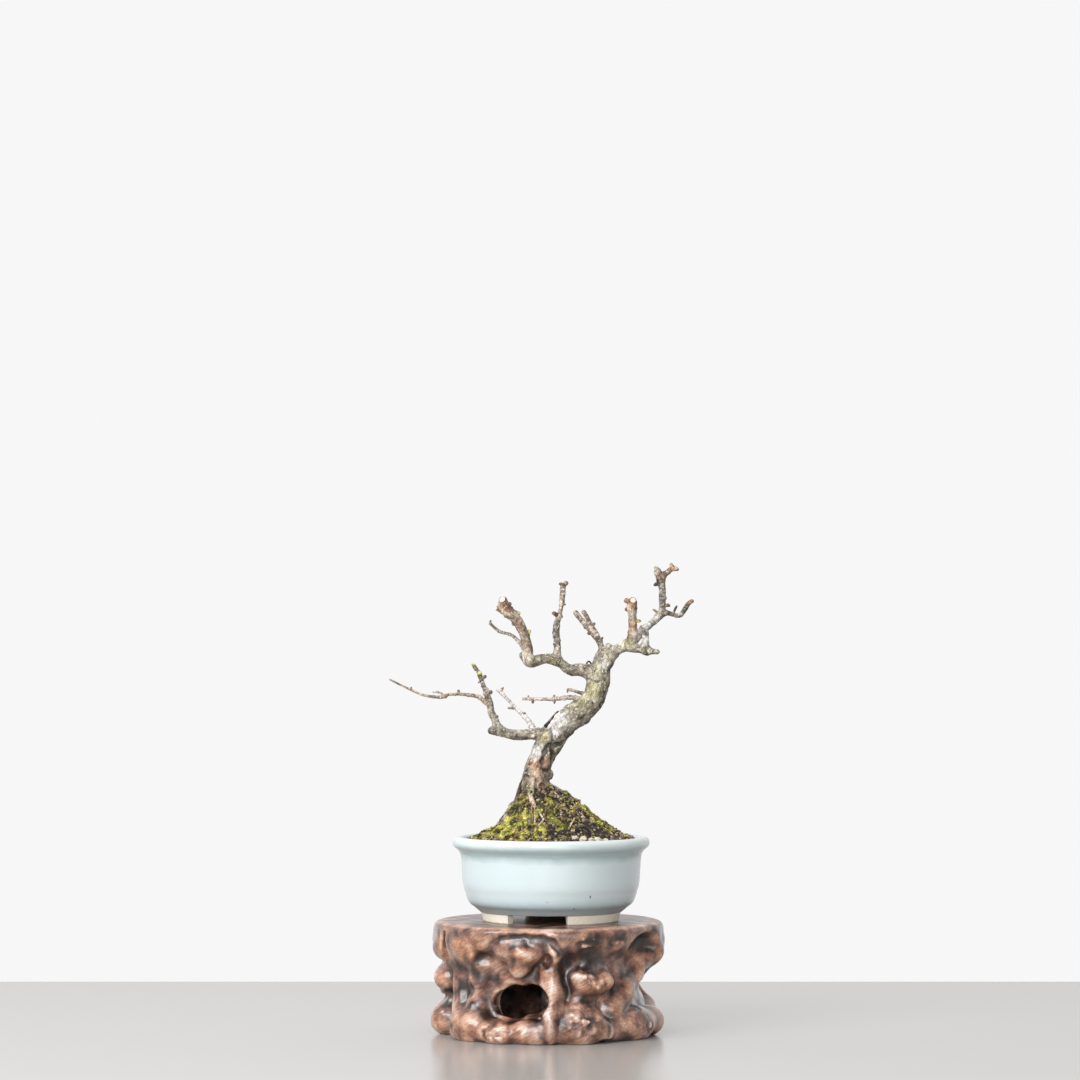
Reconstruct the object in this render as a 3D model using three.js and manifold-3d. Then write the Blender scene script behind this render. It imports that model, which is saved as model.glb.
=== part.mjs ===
// A japanese quince grown as a small bonsai, winter-bare, in a round celadon pot on a carved root-wood stand.
// Millimetres. X to the right, Y away from the viewer, Z up. The origin is on the pot's axis at the table.
import * as THREE from "three";
import { mergeVertices } from "three/addons/utils/BufferGeometryUtils.js";
import Module from "manifold-3d";

const wasm = await Module();
wasm.setup();

// Driving dimensions
const STAND_HEIGHT = 63.7;
const STAND_RADIUS = 65.5;
const STAND_CENTRE_X = -1.4;
const WALL_RADIUS = 53;
const TOP_FLARE = 1.1;
const CAVITY_RADIUS = 43;
const CAVITY_HEIGHT = 45;
const FOOT_HEIGHT = 5.1;
const POT_HEIGHT = 47.4;
const LIP_RADIUS = 56;
const DRAIN_RADIUS = 7;
const FLOOR_THICKNESS = 4.7;
const SOIL_EDGE_DROP = 1.9;
const MOUND_PEAK = [-8.5, 1];
const MOUND_RISE = 31;
const GAP = 0.3;

const POT_BASE = STAND_HEIGHT;
const UNDERSIDE = POT_BASE + FOOT_HEIGHT;
const POT_FLOOR = UNDERSIDE + FLOOR_THICKNESS;
const RIM = POT_BASE + POT_HEIGHT;
const SOIL_EDGE = RIM - SOIL_EDGE_DROP;

const object = new THREE.Group();

function add(name, geometry, color, roughness, metalness = 0) {
  const material = new THREE.MeshStandardMaterial({ color, roughness, metalness });
  const mesh = new THREE.Mesh(geometry, material);
  mesh.name = name;
  object.add(mesh);
}

function toSolid(geometry) {
  const bare = geometry.index ? geometry.toNonIndexed() : geometry.clone();
  bare.deleteAttribute("normal");
  bare.deleteAttribute("uv");
  const merged = mergeVertices(bare, 1e-4);
  const vertProperties = merged.attributes.position.array;
  const triVerts = new Uint32Array(merged.index.array);
  return new wasm.Manifold(new wasm.Mesh({ numProp: 3, vertProperties, triVerts }));
}

function toGeometry(solid) {
  const { vertProperties, triVerts } = solid.getMesh();
  const geometry = new THREE.BufferGeometry();
  geometry.setAttribute("position", new THREE.BufferAttribute(vertProperties, 3));
  geometry.setIndex(new THREE.BufferAttribute(triVerts, 1));
  return geometry;
}

// The biggest body of a cut solid: loose crumbs are dropped.
function largest(solid) {
  return solid.decompose().reduce((a, b) => (b.volume() > a.volume() ? b : a));
}

// A closed surface through a stack of rings of equal count, closed by a point at each end.
function skin(rings, first, last) {
  const count = rings[0].length;
  const points = [first, ...rings.flat(), last];
  const faces = [];
  const end = points.length - 1;
  const at = (ring, i) => 1 + ring * count + (i % count);
  for (let i = 0; i < count; i++) {
    faces.push(0, at(0, i + 1), at(0, i));
    faces.push(end, at(rings.length - 1, i), at(rings.length - 1, i + 1));
  }
  for (let ring = 0; ring + 1 < rings.length; ring++) {
    for (let i = 0; i < count; i++) {
      faces.push(at(ring, i), at(ring, i + 1), at(ring + 1, i + 1));
      faces.push(at(ring, i), at(ring + 1, i + 1), at(ring + 1, i));
    }
  }
  const geometry = new THREE.BufferGeometry();
  geometry.setAttribute("position", new THREE.Float32BufferAttribute(points.flat(), 3));
  geometry.setIndex(faces);
  return geometry;
}

// Smooth seeded noise from -1 to 1, with lumps one unit apart.
function corner(i, j, k, seed) {
  let h = Math.imul(i, 374761393) ^ Math.imul(j, 668265263);
  h ^= Math.imul(k, 2147483647) ^ Math.imul(seed, 974634777);
  h = Math.imul(h ^ (h >>> 13), 1274126177);
  return ((h ^ (h >>> 16)) >>> 0) / 2147483648 - 1;
}

function noise(x, y, z, seed) {
  const cell = [Math.floor(x), Math.floor(y), Math.floor(z)];
  const ease = (t) => t * t * (3 - 2 * t);
  const part = [ease(x - cell[0]), ease(y - cell[1]), ease(z - cell[2])];
  let sum = 0;
  for (let n = 0; n < 8; n++) {
    const step = [n & 1, (n >> 1) & 1, n >> 2];
    const share = step.reduce((all, s, axis) => all * (s ? part[axis] : 1 - part[axis]), 1);
    sum += share * corner(cell[0] + step[0], cell[1] + step[1], cell[2] + step[2], seed);
  }
  return sum;
}

// A limb through points [x, y, z, radius], domed at its far end. Its section is lumpy by the share lump.
function limb(route, sides, { grow = 0, lump = 0, seed = 1, dome = 0.55 } = {}) {
  const places = route.map(([x, y, z]) => new THREE.Vector3(x, y, z));
  const normal = new THREE.Vector3(0.31, 0.87, 0.38);
  const rings = [];
  let along = new THREE.Vector3();
  places.forEach((place, n) => {
    const before = places[Math.max(0, n - 1)];
    const after = places[Math.min(places.length - 1, n + 1)];
    along = after.clone().sub(before).normalize();
    normal.addScaledVector(along, -normal.dot(along)).normalize();
    const side = along.clone().cross(normal);
    const ring = [];
    for (let i = 0; i < sides; i++) {
      const turn = (2 * Math.PI * i) / sides;
      const dir = normal.clone().multiplyScalar(Math.cos(turn)).addScaledVector(side, Math.sin(turn));
      const bump = 1 + lump * noise(n * 0.9, 1.7 * Math.cos(turn), 1.7 * Math.sin(turn), seed);
      ring.push(place.clone().addScaledVector(dir, route[n][3] * bump + grow).toArray());
    }
    rings.push(ring);
  });
  const tip = places.at(-1).clone().addScaledVector(along, dome * route.at(-1)[3] + grow);
  const out = places[1].clone().sub(places[0]).normalize();
  return skin(rings, places[0].clone().addScaledVector(out, -grow).toArray(), tip.toArray());
}

// The stand: one block of root wood, carved with knuckles, coves and holes, hollow below.
// Its forms are placed by the turn from the front in degrees, the radius from its axis and the height.
function around(turn, radius, height) {
  const a = THREE.MathUtils.degToRad(turn);
  return new THREE.Vector3(STAND_CENTRE_X + radius * Math.sin(a), -radius * Math.cos(a), height);
}

// A value between the points [place, value] of a profile.
function along(profile, share) {
  const n = profile.findIndex(([s]) => s >= share);
  if (n < 1) return profile[n < 0 ? profile.length - 1 : 0][1];
  const [[a, high], [b, low]] = [profile[n - 1], profile[n]];
  return high + ((low - high) * (share - a)) / (b - a);
}

// The lower edge of the flared top: turn, height.
const TOP_EDGE = [
  [-180, 50], [-120, 48], [-95, 47], [-85, 45.5], [-73, 46], [-64, 51], [-55, 49], [-42, 48], [-35, 53],
  [-29, 58], [-20, 59.6], [-8, 59.6], [-1, 58.4], [4, 55],
  [10, 56.5], [30, 57], [46, 58], [56, 60], [66, 60],
  [72, 52], [78, 45], [86, 45], [96, 50], [140, 52], [180, 50],
];

// Rounded knuckles: turn, radius, height, then half sizes round the rim, outwards and upwards.
const KNUCKLES = [
  [-15, 55, 50.5, 17, 8.5, 7.5],
  [-13, 59, 49.5, 7, 6.5, 4.5],
  [-16, 57, 43, 7, 6.5, 6.5],
  [3.5, 58, 50.5, 4.5, 6, 6.5],
  [-50, 54, 50, 13, 11, 9],
  [-80, 57, 50, 9, 9.5, 8.5],
  [-79, 57, 32.5, 8, 8.5, 6.5],
  [-84, 57, 9, 10, 10.5, 10],
  [-50, 56, 8, 15, 10.5, 11],
  [-27, 59, 5, 7.5, 7.5, 6.5],
  [-11, 58, 7, 9, 6.5, 6],
  [0.5, 59, 10, 4.5, 6.5, 10],
  [18, 56, 10, 13.5, 10.5, 12],
  [25, 55, 33.5, 12, 9, 7],
  [18, 57, 37, 6, 6.5, 4],
  [33, 56, 34, 5, 7, 5.5],
  [58, 55, 8, 17, 11, 10],
  [78, 56, 8, 12, 9.5, 9],
  [77, 57, 48, 8, 8.5, 9.5],
  [112, 57, 9, 12, 9, 11],
  [120, 57, 45, 12, 8, 9],
  [142, 57, 7, 10, 9, 8],
  [176, 57, 9, 13, 9.5, 10],
  [-165, 57, 47, 13, 8, 8],
  [-152, 57, 7, 10, 9, 9],
  [-138, 56, 38, 10, 9, 8],
  [-122, 57, 10, 12, 9.5, 11],
  [-105, 57, 46, 12, 8, 8],
];

// Roots that run between them: a route of turn, radius, height and half thickness.
const STAND_ROOTS = [
  [[-44, 53, 46, 7], [-46, 53, 32, 7], [-46, 54, 16, 7]],
  [[-66, 53, 45, 6], [-64, 52, 30, 6], [-60, 54, 14, 7]],
  [[-35, 58, 5, 5.5], [-5, 58, 6, 5.5], [30, 57, 6, 6]],
  [[1, 54, 42, 5.5], [2.5, 54, 30, 6], [2, 56, 18, 6]],
  [[24, 51, 45, 7], [22, 51, 30, 7], [18, 53, 14, 8]],
  [[72, 54, 44, 6.5], [63, 51, 34, 6.5], [50, 51, 27, 7], [40, 53, 17, 7]],
  [[98, 50, 46, 8], [94, 43, 30, 6], [88, 46, 14, 8]],
  [[116, 55, 46, 8], [121, 50, 28, 6.5], [114, 56, 10, 8]],
  [[150, 55, 46, 8], [154, 55, 30, 7], [145, 56, 10, 7]],
  [[178, 55, 46, 8], [-174, 54, 28, 7], [176, 56, 10, 8]],
  [[-150, 55, 46, 8], [-146, 54, 34, 8], [-150, 56, 12, 8]],
  [[-112, 55, 46, 8], [-118, 54, 30, 7], [-121, 56, 12, 8]],
  [[-92, 54, 46, 8], [-84, 54, 34, 7], [-88, 54, 12, 8]],
  [[30, 57, 6, 6], [62, 56, 6, 6], [90, 56, 6, 5.5]],
  [[-60, 57, 5.5, 6], [-35, 58, 6, 6]],
];

// Carved away: turn, radius, height and the same half sizes as a knuckle.
const HOLLOWS = [
  [-21.5, 54, 22, 8.5, 22, 10.5],
  [-11, 54, 23.5, 8, 22, 9.5],
  [-6, 54, 24, 6.5, 22, 7],
  [-30, 46, 21, 6.5, 9, 8.5],
  [-35, 66, 45, 7.5, 10.5, 5.5],
  [-1, 64, 45, 3.5, 11, 5],
  [60, 67, 51.5, 14, 13.5, 8],
  [24, 67, 25, 10, 10, 3.5],
  [28, 75, 47, 24, 17, 8.5],
  [11.5, 68, 30, 3, 9, 7],
  [72, 71, 26, 24, 20, 7.5],
  [86, 70, 27, 16, 20, 7.5],
  [-52, 70, 28, 13, 14.5, 6],
  [-84, 71, 41, 16, 11.5, 2.6],
  [-85, 69, 21, 12, 12, 3],
  [-38, 66, -1, 5, 8, 2.5],
  [31, 64, -1, 5, 10, 3],
  [70, 64, -2, 9, 12, 5],
  [98, 60, -1, 8, 16, 6],
  [104, 54, 26, 9, 20, 10],
  [135, 54, 26, 9, 20, 11],
  [166, 54, 27, 8, 20, 9],
  [160, 60, -1, 7, 16, 5],
  [-137, 60, -1, 7, 16, 5],
  [-133, 54, 20, 6, 20, 7],
  [-103, 60, -1, 7, 16, 5],
  [-100, 54, 24, 8, 20, 9],
];

const FUSE = 3.4;
const CUT_EASE = 2.4;
const RIM_EASE = 5;
const WALL_TOP = 56;
const KNUCKLE_REACH = 1.5;
// The forms run on past the ends of the block, where it is sawn flat.
const BEYOND = 6;
const join = (a, b, k) => Math.min(a, b) - (Math.max(k - Math.abs(a - b), 0) ** 2 / k) * 0.25;
const cut = (a, b, k) => -join(-a, b, k);

// An egg or a cut of that shape, as a distance in millimetres from its surface.
function egg([turn, radius, height, round, out, up]) {
  const a = THREE.MathUtils.degToRad(turn);
  const [cos, sin] = [Math.cos(a), Math.sin(a)];
  const centre = around(turn, radius, height);
  return (p) => {
    const x = p.x - centre.x;
    const y = p.y - centre.y;
    const [q, r, s] = [(x * cos + y * sin) / round, (x * sin - y * cos) / out, (p.z - centre.z) / up];
    const near = Math.hypot(q, r, s);
    if (near === 0) return -Math.min(round, out, up);
    return (near * (near - 1)) / Math.hypot(q / round, r / out, s / up);
  };
}

// A root through its route, thick at each point as the route says.
function root(route) {
  const spots = route.map(([turn, radius, height]) => around(turn, radius, height));
  const nearest = new THREE.Vector3();
  return (p) => {
    let best = Infinity;
    for (let i = 0; i + 1 < route.length; i++) {
      const [a, b] = [spots[i], spots[i + 1]];
      const run = (p.x - a.x) * (b.x - a.x) + (p.y - a.y) * (b.y - a.y) + (p.z - a.z) * (b.z - a.z);
      const t = THREE.MathUtils.clamp(run / a.distanceToSquared(b), 0, 1);
      const thick = route[i][3] + t * (route[i + 1][3] - route[i][3]);
      best = Math.min(best, p.distanceTo(nearest.lerpVectors(a, b, t)) - thick);
    }
    return best;
  };
}

const ADDED = [...KNUCKLES.map(egg), ...STAND_ROOTS.map(root)];
const CARVED = HOLLOWS.map(egg);

// Signed distance to the stand's surface, in millimetres.
function standDistance(p) {
  const turn = Math.atan2(p.x - STAND_CENTRE_X, -p.y);
  const radius = Math.hypot(p.x - STAND_CENTRE_X, p.y);
  const edge = along(TOP_EDGE, THREE.MathUtils.radToDeg(turn));
  const under = (edge - TOP_FLARE * (STAND_RADIUS - radius) - p.z) / Math.hypot(1, TOP_FLARE);
  const slab = Math.max(cut(radius - STAND_RADIUS, -under, RIM_EASE), p.z - STAND_HEIGHT - BEYOND);
  const wall = Math.max(radius - WALL_RADIUS, p.z - WALL_TOP, -BEYOND - p.z);
  let d = join(slab, wall, FUSE);
  for (const form of ADDED) d = join(d, form(p), FUSE);
  for (const form of CARVED) d = cut(d, form(p), CUT_EASE);
  d = cut(d, Math.max(radius - CAVITY_RADIUS, p.z - CAVITY_HEIGHT), CUT_EASE);
  return Math.max(d, radius - STAND_RADIUS - KNUCKLE_REACH);
}

// A mesh of squares over the zero of a distance function, with one vertex in each cell that it crosses.
function meshOf(distance, low, high, step) {
  const size = low.map((v, axis) => Math.ceil((high[axis] - v) / step) + 1);
  const index = (i, j, k) => i + size[0] * (j + size[1] * k);
  const values = new Float64Array(size[0] * size[1] * size[2]);
  for (let k = 0; k < size[2]; k++)
    for (let j = 0; j < size[1]; j++)
      for (let i = 0; i < size[0]; i++) {
        const p = new THREE.Vector3(low[0] + i * step, low[1] + j * step, low[2] + k * step);
        values[index(i, j, k)] = distance(p);
      }
  const corners = [0, 1, 2, 3, 4, 5, 6, 7];
  const islands = (inside) => {
    const left = new Set(corners.filter((n) => inside[n]));
    let count = 0;
    while (left.size) {
      const open = [left.values().next().value];
      left.delete(open[0]);
      count++;
      while (open.length) {
        const n = open.pop();
        for (const m of [n ^ 1, n ^ 2, n ^ 4]) if (left.delete(m)) open.push(m);
      }
    }
    return count;
  };
  // Where a cell holds two separate scraps of surface, its corner nearest the surface is filled in.
  for (let filled = true; filled; ) {
    filled = false;
    for (let k = 0; k + 1 < size[2]; k++)
      for (let j = 0; j + 1 < size[1]; j++)
        for (let i = 0; i + 1 < size[0]; i++) {
          const at = corners.map((n) => index(i + (n & 1), j + ((n >> 1) & 1), k + (n >> 2)));
          const inside = at.map((n) => values[n] < 0);
          if (islands(inside) < 2 && islands(inside.map((v) => !v)) < 2) continue;
          const outer = at.filter((n, m) => !inside[m]);
          const nearest = outer.reduce((a, b) => (values[b] < values[a] ? b : a));
          values[nearest] = -0.1 * step;
          filled = true;
        }
  }
  const vertexOf = new Map();
  const points = [];
  for (let k = 0; k + 1 < size[2]; k++)
    for (let j = 0; j + 1 < size[1]; j++)
      for (let i = 0; i + 1 < size[0]; i++) {
        const sum = [0, 0, 0];
        let crossings = 0;
        for (let n = 0; n < 8; n++)
          for (let axis = 0; axis < 3; axis++) {
            if ((n >> axis) & 1) continue;
            const a = [i + (n & 1), j + ((n >> 1) & 1), k + (n >> 2)];
            const b = a.map((v, m) => v + (m === axis ? 1 : 0));
            const va = values[index(...a)];
            const vb = values[index(...b)];
            if (va < 0 === vb < 0) continue;
            a.forEach((v, m) => (sum[m] += v + (m === axis ? va / (va - vb) : 0)));
            crossings++;
          }
        if (!crossings) continue;
        vertexOf.set(index(i, j, k), points.length / 3);
        sum.forEach((v, m) => points.push(low[m] + (v / crossings) * step));
      }
  const faces = [];
  for (let k = 1; k + 1 < size[2]; k++)
    for (let j = 1; j + 1 < size[1]; j++)
      for (let i = 1; i + 1 < size[0]; i++)
        for (let axis = 0; axis < 3; axis++) {
          const b = [i, j, k];
          b[axis]++;
          const inside = values[index(i, j, k)] < 0;
          if (inside === values[index(...b)] < 0) continue;
          const u = (axis + 1) % 3;
          const v = (axis + 2) % 3;
          const quad = [[0, 0], [1, 0], [1, 1], [0, 1]].map(([du, dv]) => {
            const c = [i, j, k];
            c[u] -= du;
            c[v] -= dv;
            return vertexOf.get(index(...c));
          });
          if (!inside) quad.reverse();
          faces.push(quad[0], quad[1], quad[2], quad[0], quad[2], quad[3]);
        }
  const geometry = new THREE.BufferGeometry();
  geometry.setAttribute("position", new THREE.Float32BufferAttribute(points, 3));
  geometry.setIndex(faces);
  return geometry;
}

const STAND_STEP = 6;
const reach = STAND_RADIUS + 8;
const rough = meshOf(
  standDistance,
  [STAND_CENTRE_X - reach, -reach, -9 - STAND_STEP],
  [STAND_CENTRE_X + reach, reach, STAND_HEIGHT + 9],
  STAND_STEP,
);
const between = new THREE.BoxGeometry(4 * reach, 4 * reach, STAND_HEIGHT);
between.translate(0, 0, STAND_HEIGHT / 2);
const stand = largest(toSolid(rough).intersect(toSolid(between)));
add("root_wood_stand", toGeometry(stand), 0x6e4432, 0.35);

// The pot: thrown, glazed body with a drain hole, on three feet cut from a turned foot ring.
// Its section is given as radius and height above the stand.
const POT_SECTION = [
  [DRAIN_RADIUS, FOOT_HEIGHT],
  [40.4, FOOT_HEIGHT],
  [43.6, 7.8],
  [46.9, 10.7],
  [48.9, 16.4],
  [50.3, 22.1],
  [51.2, 35],
  [52.3, 39],
  [55, 41.6],
  [LIP_RADIUS, 43],
  [LIP_RADIUS, 45.4],
  [54.2, POT_HEIGHT],
  [51.4, POT_HEIGHT],
  [49.6, 46],
  [47.4, 40],
  [45.8, 24],
  [43, 13.6],
  [38, POT_FLOOR - POT_BASE],
  [DRAIN_RADIUS, POT_FLOOR - POT_BASE],
];
const POT_SIDES = 36;
const FOOT_STARTS = [12.9, 132.9, -107.7];
const FOOT_TURN = 70;
const FOOT_SLANT = 1.3;
const FOOT_STEPS = 5;
const FOOT_SINK = 0.6;
const FOOT_INNER = 34.4;
const FOOT_OUTER = 38.6;
const FOOT_ROOT = 40;

function potFoot(start) {
  const rings = [];
  for (let n = 0; n <= FOOT_STEPS; n++) {
    const share = n / FOOT_STEPS;
    const slant = FOOT_SLANT * (1 - 2 * share);
    const low = THREE.MathUtils.degToRad(start + slant + FOOT_TURN * share);
    const high = THREE.MathUtils.degToRad(start + FOOT_TURN * share);
    const corners = [
      [FOOT_INNER, high, UNDERSIDE + FOOT_SINK],
      [FOOT_ROOT, high, UNDERSIDE + FOOT_SINK],
      [FOOT_OUTER, low, POT_BASE],
      [FOOT_INNER, low, POT_BASE],
    ];
    rings.push(corners.map(([r, a, z]) => [r * Math.sin(a), -r * Math.cos(a), z]));
  }
  const middle = (ring) => [0, 1, 2].map((m) => ring.reduce((sum, p) => sum + p[m] / ring.length, 0));
  return toSolid(skin(rings, middle(rings[0]), middle(rings.at(-1))));
}

const section = [...POT_SECTION, POT_SECTION[0]].map(([r, z]) => new THREE.Vector2(r, z));
const bowl = new THREE.LatheGeometry(section, POT_SIDES);
bowl.rotateX(Math.PI / 2);
bowl.translate(0, 0, POT_BASE);
const pot = wasm.Manifold.union([toSolid(bowl), ...FOOT_STARTS.map(potFoot)]);
add("celadon_pot", toGeometry(pot), 0xb9cfce, 0.2);

// The drainage mesh: a square of moulded plastic net that lies over the drain hole.
const NET_HOLE = 4.4;
const NET_BAR = 1;
const NET_HOLES = 4;
const NET_THICKNESS = 0.8;
const NET_SIDE = NET_HOLES * NET_HOLE + (NET_HOLES + 1) * NET_BAR;
const NET_PITCH = NET_HOLE + NET_BAR;

function block(x, y, side, height, z) {
  const box = new THREE.BoxGeometry(side, side, height);
  box.translate(x, y, z);
  return toSolid(box);
}

const netMiddle = POT_FLOOR + GAP + NET_THICKNESS / 2;
const netPlaces = Array.from({ length: NET_HOLES }, (_, i) => (i - (NET_HOLES - 1) / 2) * NET_PITCH);
const netHole = (x, y) => block(x, y, NET_HOLE, 3 * NET_THICKNESS, netMiddle);
const netHoles = netPlaces.flatMap((x) => netPlaces.map((y) => netHole(x, y)));
const net = block(0, 0, NET_SIDE, NET_THICKNESS, netMiddle).subtract(wasm.Manifold.union(netHoles));
add("drainage_mesh", toGeometry(net), 0x2a2c2b, 0.6);

// The wire clip: it bridges the middle bar of the net, and its ends are bent out under the pot.
const CLIP_RADIUS = 0.6;
const CLIP_TOP = POT_FLOOR + GAP + NET_THICKNESS + GAP + CLIP_RADIUS;
const CLIP_LOW = UNDERSIDE - GAP - CLIP_RADIUS;
const clipX = NET_PITCH / 2;
const clipSide = [
  [13, clipX, CLIP_LOW],
  [4.2, clipX, CLIP_LOW],
  [clipX, clipX, CLIP_LOW + 1.5],
  [clipX, clipX, CLIP_TOP - 1.2],
  [clipX - 1.2, clipX, CLIP_TOP],
].map((p) => [...p, CLIP_RADIUS]);
const clipRoute = [...clipSide, ...clipSide.map(([x, y, z, r]) => [-x, y, z, r]).reverse()];
add("mesh_clip_wire", limb(clipRoute, 6, { dome: 0.3 }), 0x8a8f92, 0.35, 1);

// The tree. Each limb is a route of points [x, y, z, radius], from the wood that it grows out of to its tip.
const LIMBS = {
  trunk: [
    [-8.5, 1, 118, 9], [-8.5, 0.5, 126, 10.5], [-9, 0, 134, 9.6], [-9.5, 0, 141.5, 8], [-8, 0, 148.5, 7.4],
    [-6, 0, 154.5, 6.9], [-3.5, 0, 160, 7.1], [0.5, -1, 166.5, 7.6],
    [5, -2, 172.5, 7.4], [9, -3, 176.5, 7.4],
    [16.5, -4, 182, 7.4], [22.5, -3, 187.5, 6.8], [26, -1, 194.5, 6.2],
    [27.5, 1, 200, 6.1], [28.5, 2, 206, 6],
    [30, 3, 211, 5.5], [30, 3, 213.5, 4.2],
  ],
  lowerArm: [
    [-1, 0, 166.5, 4.3], [-5.5, -2, 168.5, 3.7], [-9.5, -4, 169.5, 3.1],
    [-17.5, -8, 169, 3], [-25, -11, 170, 2.8],
    [-30, -12.5, 173, 2.8], [-31.5, -12, 177, 2.3], [-34, -11, 182, 2.1], [-34.5, -10, 186, 1.9],
    [-36.5, -8.5, 192.5, 1.6], [-39, -7, 198.5, 1.3], [-41, -5, 204, 1.3], [-42, -4.5, 205.5, 1],
  ],
  lowerKnob: [[-29, -12, 171, 2.6], [-34, -13.5, 171.5, 2]],
  longTwig: [
    [-35, -10, 185.5, 1.4], [-39.5, -11, 189.5, 1.3], [-42.5, -12, 191, 1.2], [-50, -14, 192, 0.9],
    [-57.5, -16, 192, 0.8], [-60, -17, 191, 1.2], [-63, -17.5, 190.5, 1], [-71.5, -18.5, 191.5, 0.75],
    [-80, -20, 195, 0.6], [-91, -23, 200.5, 0.5],
  ],
  longTwigSpur: [[-59.5, -17, 191, 0.8], [-63, -15.5, 193, 0.6], [-67, -14, 193.5, 0.5]],
  paleTwig: [
    [-9, -4, 170.5, 2], [-13.5, 0, 177.5, 1.4], [-19, 5, 183, 1.1], [-24.5, 10, 188.5, 0.9],
    [-28.5, 13.5, 192.5, 1.1], [-31, 15, 194.5, 0.8],
  ],
  paleTwigSpur: [[-20.5, 6, 184, 0.9], [-24.5, 9, 184, 0.6]],
  flatTwig: [
    [19, 2, 187.5, 2], [15, 8, 189.5, 1.5], [11, 11, 190, 1.4], [1, 17, 189, 1.1], [-8, 21, 189, 0.9],
    [-16.5, 25, 189, 0.9],
  ],
  shortTwig: [[23.5, 4, 192, 1.4], [19.5, 9, 192, 1.1], [12.5, 13, 194, 0.9], [9.5, 15, 194.5, 0.8]],
  upperArm: [
    [27.5, 2, 201, 5.4], [22.5, 2, 204, 4.6], [17, 1, 206, 4], [12, -1, 205.5, 3.2], [8, -3, 207.5, 2.9],
    [4.5, -5, 210.5, 2.8], [-3, -8, 212.5, 2.8], [-7, -9, 211.5, 3.1], [-11.5, -11, 210.5, 3.5],
    [-13, -12.5, 213, 3.1], [-13.5, -13.5, 219, 2.9], [-15, -15, 225, 2.8], [-19, -18, 233.5, 3],
    [-23.5, -20.5, 238, 3.2], [-26.6, -22.5, 242, 3], [-27.3, -24, 245, 2.4],
  ],
  elbowKnob: [[-12.5, -12, 211.5, 3], [-16.5, -11, 214, 2]],
  sideCut: [[-24, -21, 238, 1.8], [-30.5, -22, 240.5, 1.3]],
  leftTwig: [
    [-14, -14, 216, 1.5], [-17.5, -15, 221, 1.2], [-22.5, -18, 225.5, 0.9], [-29, -22, 227.5, 0.9],
    [-34.5, -26, 232, 0.8],
  ],
  uprightShoot: [
    [3.5, -6, 211, 2.4], [3.5, -6, 218.5, 2.1], [3, -4, 228.5, 2],
    [3.5, -3, 233, 1.8], [5.5, -1, 240.5, 1.3],
    [6.5, 1, 247.5, 1.7], [7, 3, 254, 1.6],
  ],
  pinkShoot: [
    [30, 3, 212, 2.4], [29, 5, 218.5, 1.8], [26, 9, 225, 1.9], [20.5, 14, 231, 1.5], [14.3, 20, 238.7, 1.6],
  ],
  pinkProng: [[25.5, 9.5, 226, 1.7], [23.5, 11, 230.5, 1.5], [21.3, 12, 235, 1.4], [19, 13, 239, 1.5]],
  topKnob: [[30, 3, 213, 2.6], [32.5, 2, 219.5, 1.9]],
  rightArm: [
    [30, 3, 210.5, 4.6], [35.5, 2, 215.5, 3.7], [39.5, 1, 218, 3.1],
    [43.5, -1, 220, 3.1], [49, 2, 224, 2.5],
    [51.5, 4, 227.5, 2.6], [57.5, 8, 232.5, 2], [61.5, 11, 236, 2.1], [64, 12.5, 241, 2], [64, 13, 247, 2],
    [64, 13.5, 252, 2], [63.5, 14, 256, 2.3], [62, 14.5, 261.5, 2.1], [61, 15, 264, 1.3],
  ],
  rightProng: [[63.5, 14, 258, 1.9], [66, 13, 261, 1.6], [70, 11, 264, 1.6], [72.5, 10, 263.5, 1.1]],
  rightHook: [
    [62.5, 11.5, 237, 1.9], [66.5, 10.5, 238.5, 1.5], [71.5, 7.5, 237, 1.3], [74.5, 6, 237.5, 1.4],
    [78.5, 3, 243.5, 1.4], [80.5, 2, 245, 1.2],
  ],
  redStub: [
    [45.5, -2, 219.5, 2.9], [46.5, -3, 225, 2.7], [46.5, -5, 234.5, 2.4],
    [46, -7, 242, 2.9], [46.2, -8, 245, 2.2],
  ],
  lowRightArm: [[44, -1.5, 220, 2.9], [49, -4, 218, 2.6], [56.5, -8, 216.5, 1.9], [60, -10, 216, 1.6]],
  paleSpur: [[54, -7, 216.5, 2.2], [53.5, -6, 221, 2.3], [54, -4, 227, 1.8]],
  frontRoot: [
    [-9.5, -2, 139, 3.6], [-10.5, -9, 133, 3], [-10, -16, 126, 2.4], [-11, -23, 119, 2],
    [-13, -29, 109, 1.3],
  ],
  leftRoot: [
    [-12, 0, 140, 3.4], [-17, -2, 136.5, 2.5], [-19.5, -4, 131, 1.9], [-25, -8, 124, 1.4],
    [-30, -12, 114, 1],
  ],
  rightRoot: [
    [-5.5, 1, 140.5, 4], [-0.5, 2, 138, 3.1], [5, 3, 135, 2.7], [12, 4, 130, 2.1],
    [20, 6, 119, 1.2],
  ],
  backRoot: [[-8.5, 3, 139.5, 3.7], [-9.5, 11, 134, 2.8], [-12, 19, 127.5, 2], [-15, 27, 116, 1.3]],
  backRightRoot: [[-6.5, 4, 138, 3.1], [-1.5, 11, 133, 2.4], [3, 17, 127, 1.8], [7, 24, 115, 1.2]],
  deepRootLeft: [[-12, 1, 124, 7], [-18, 2, 108, 5], [-24, 4, 90, 2.5]],
  deepRootRight: [[-4, 0, 124, 7], [4, -4, 108, 5], [12, -8, 88, 2.5]],
  deepRootBack: [[-8, 4, 124, 7], [-6, 14, 106, 4.5], [-4, 24, 86, 2.2]],
};

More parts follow.
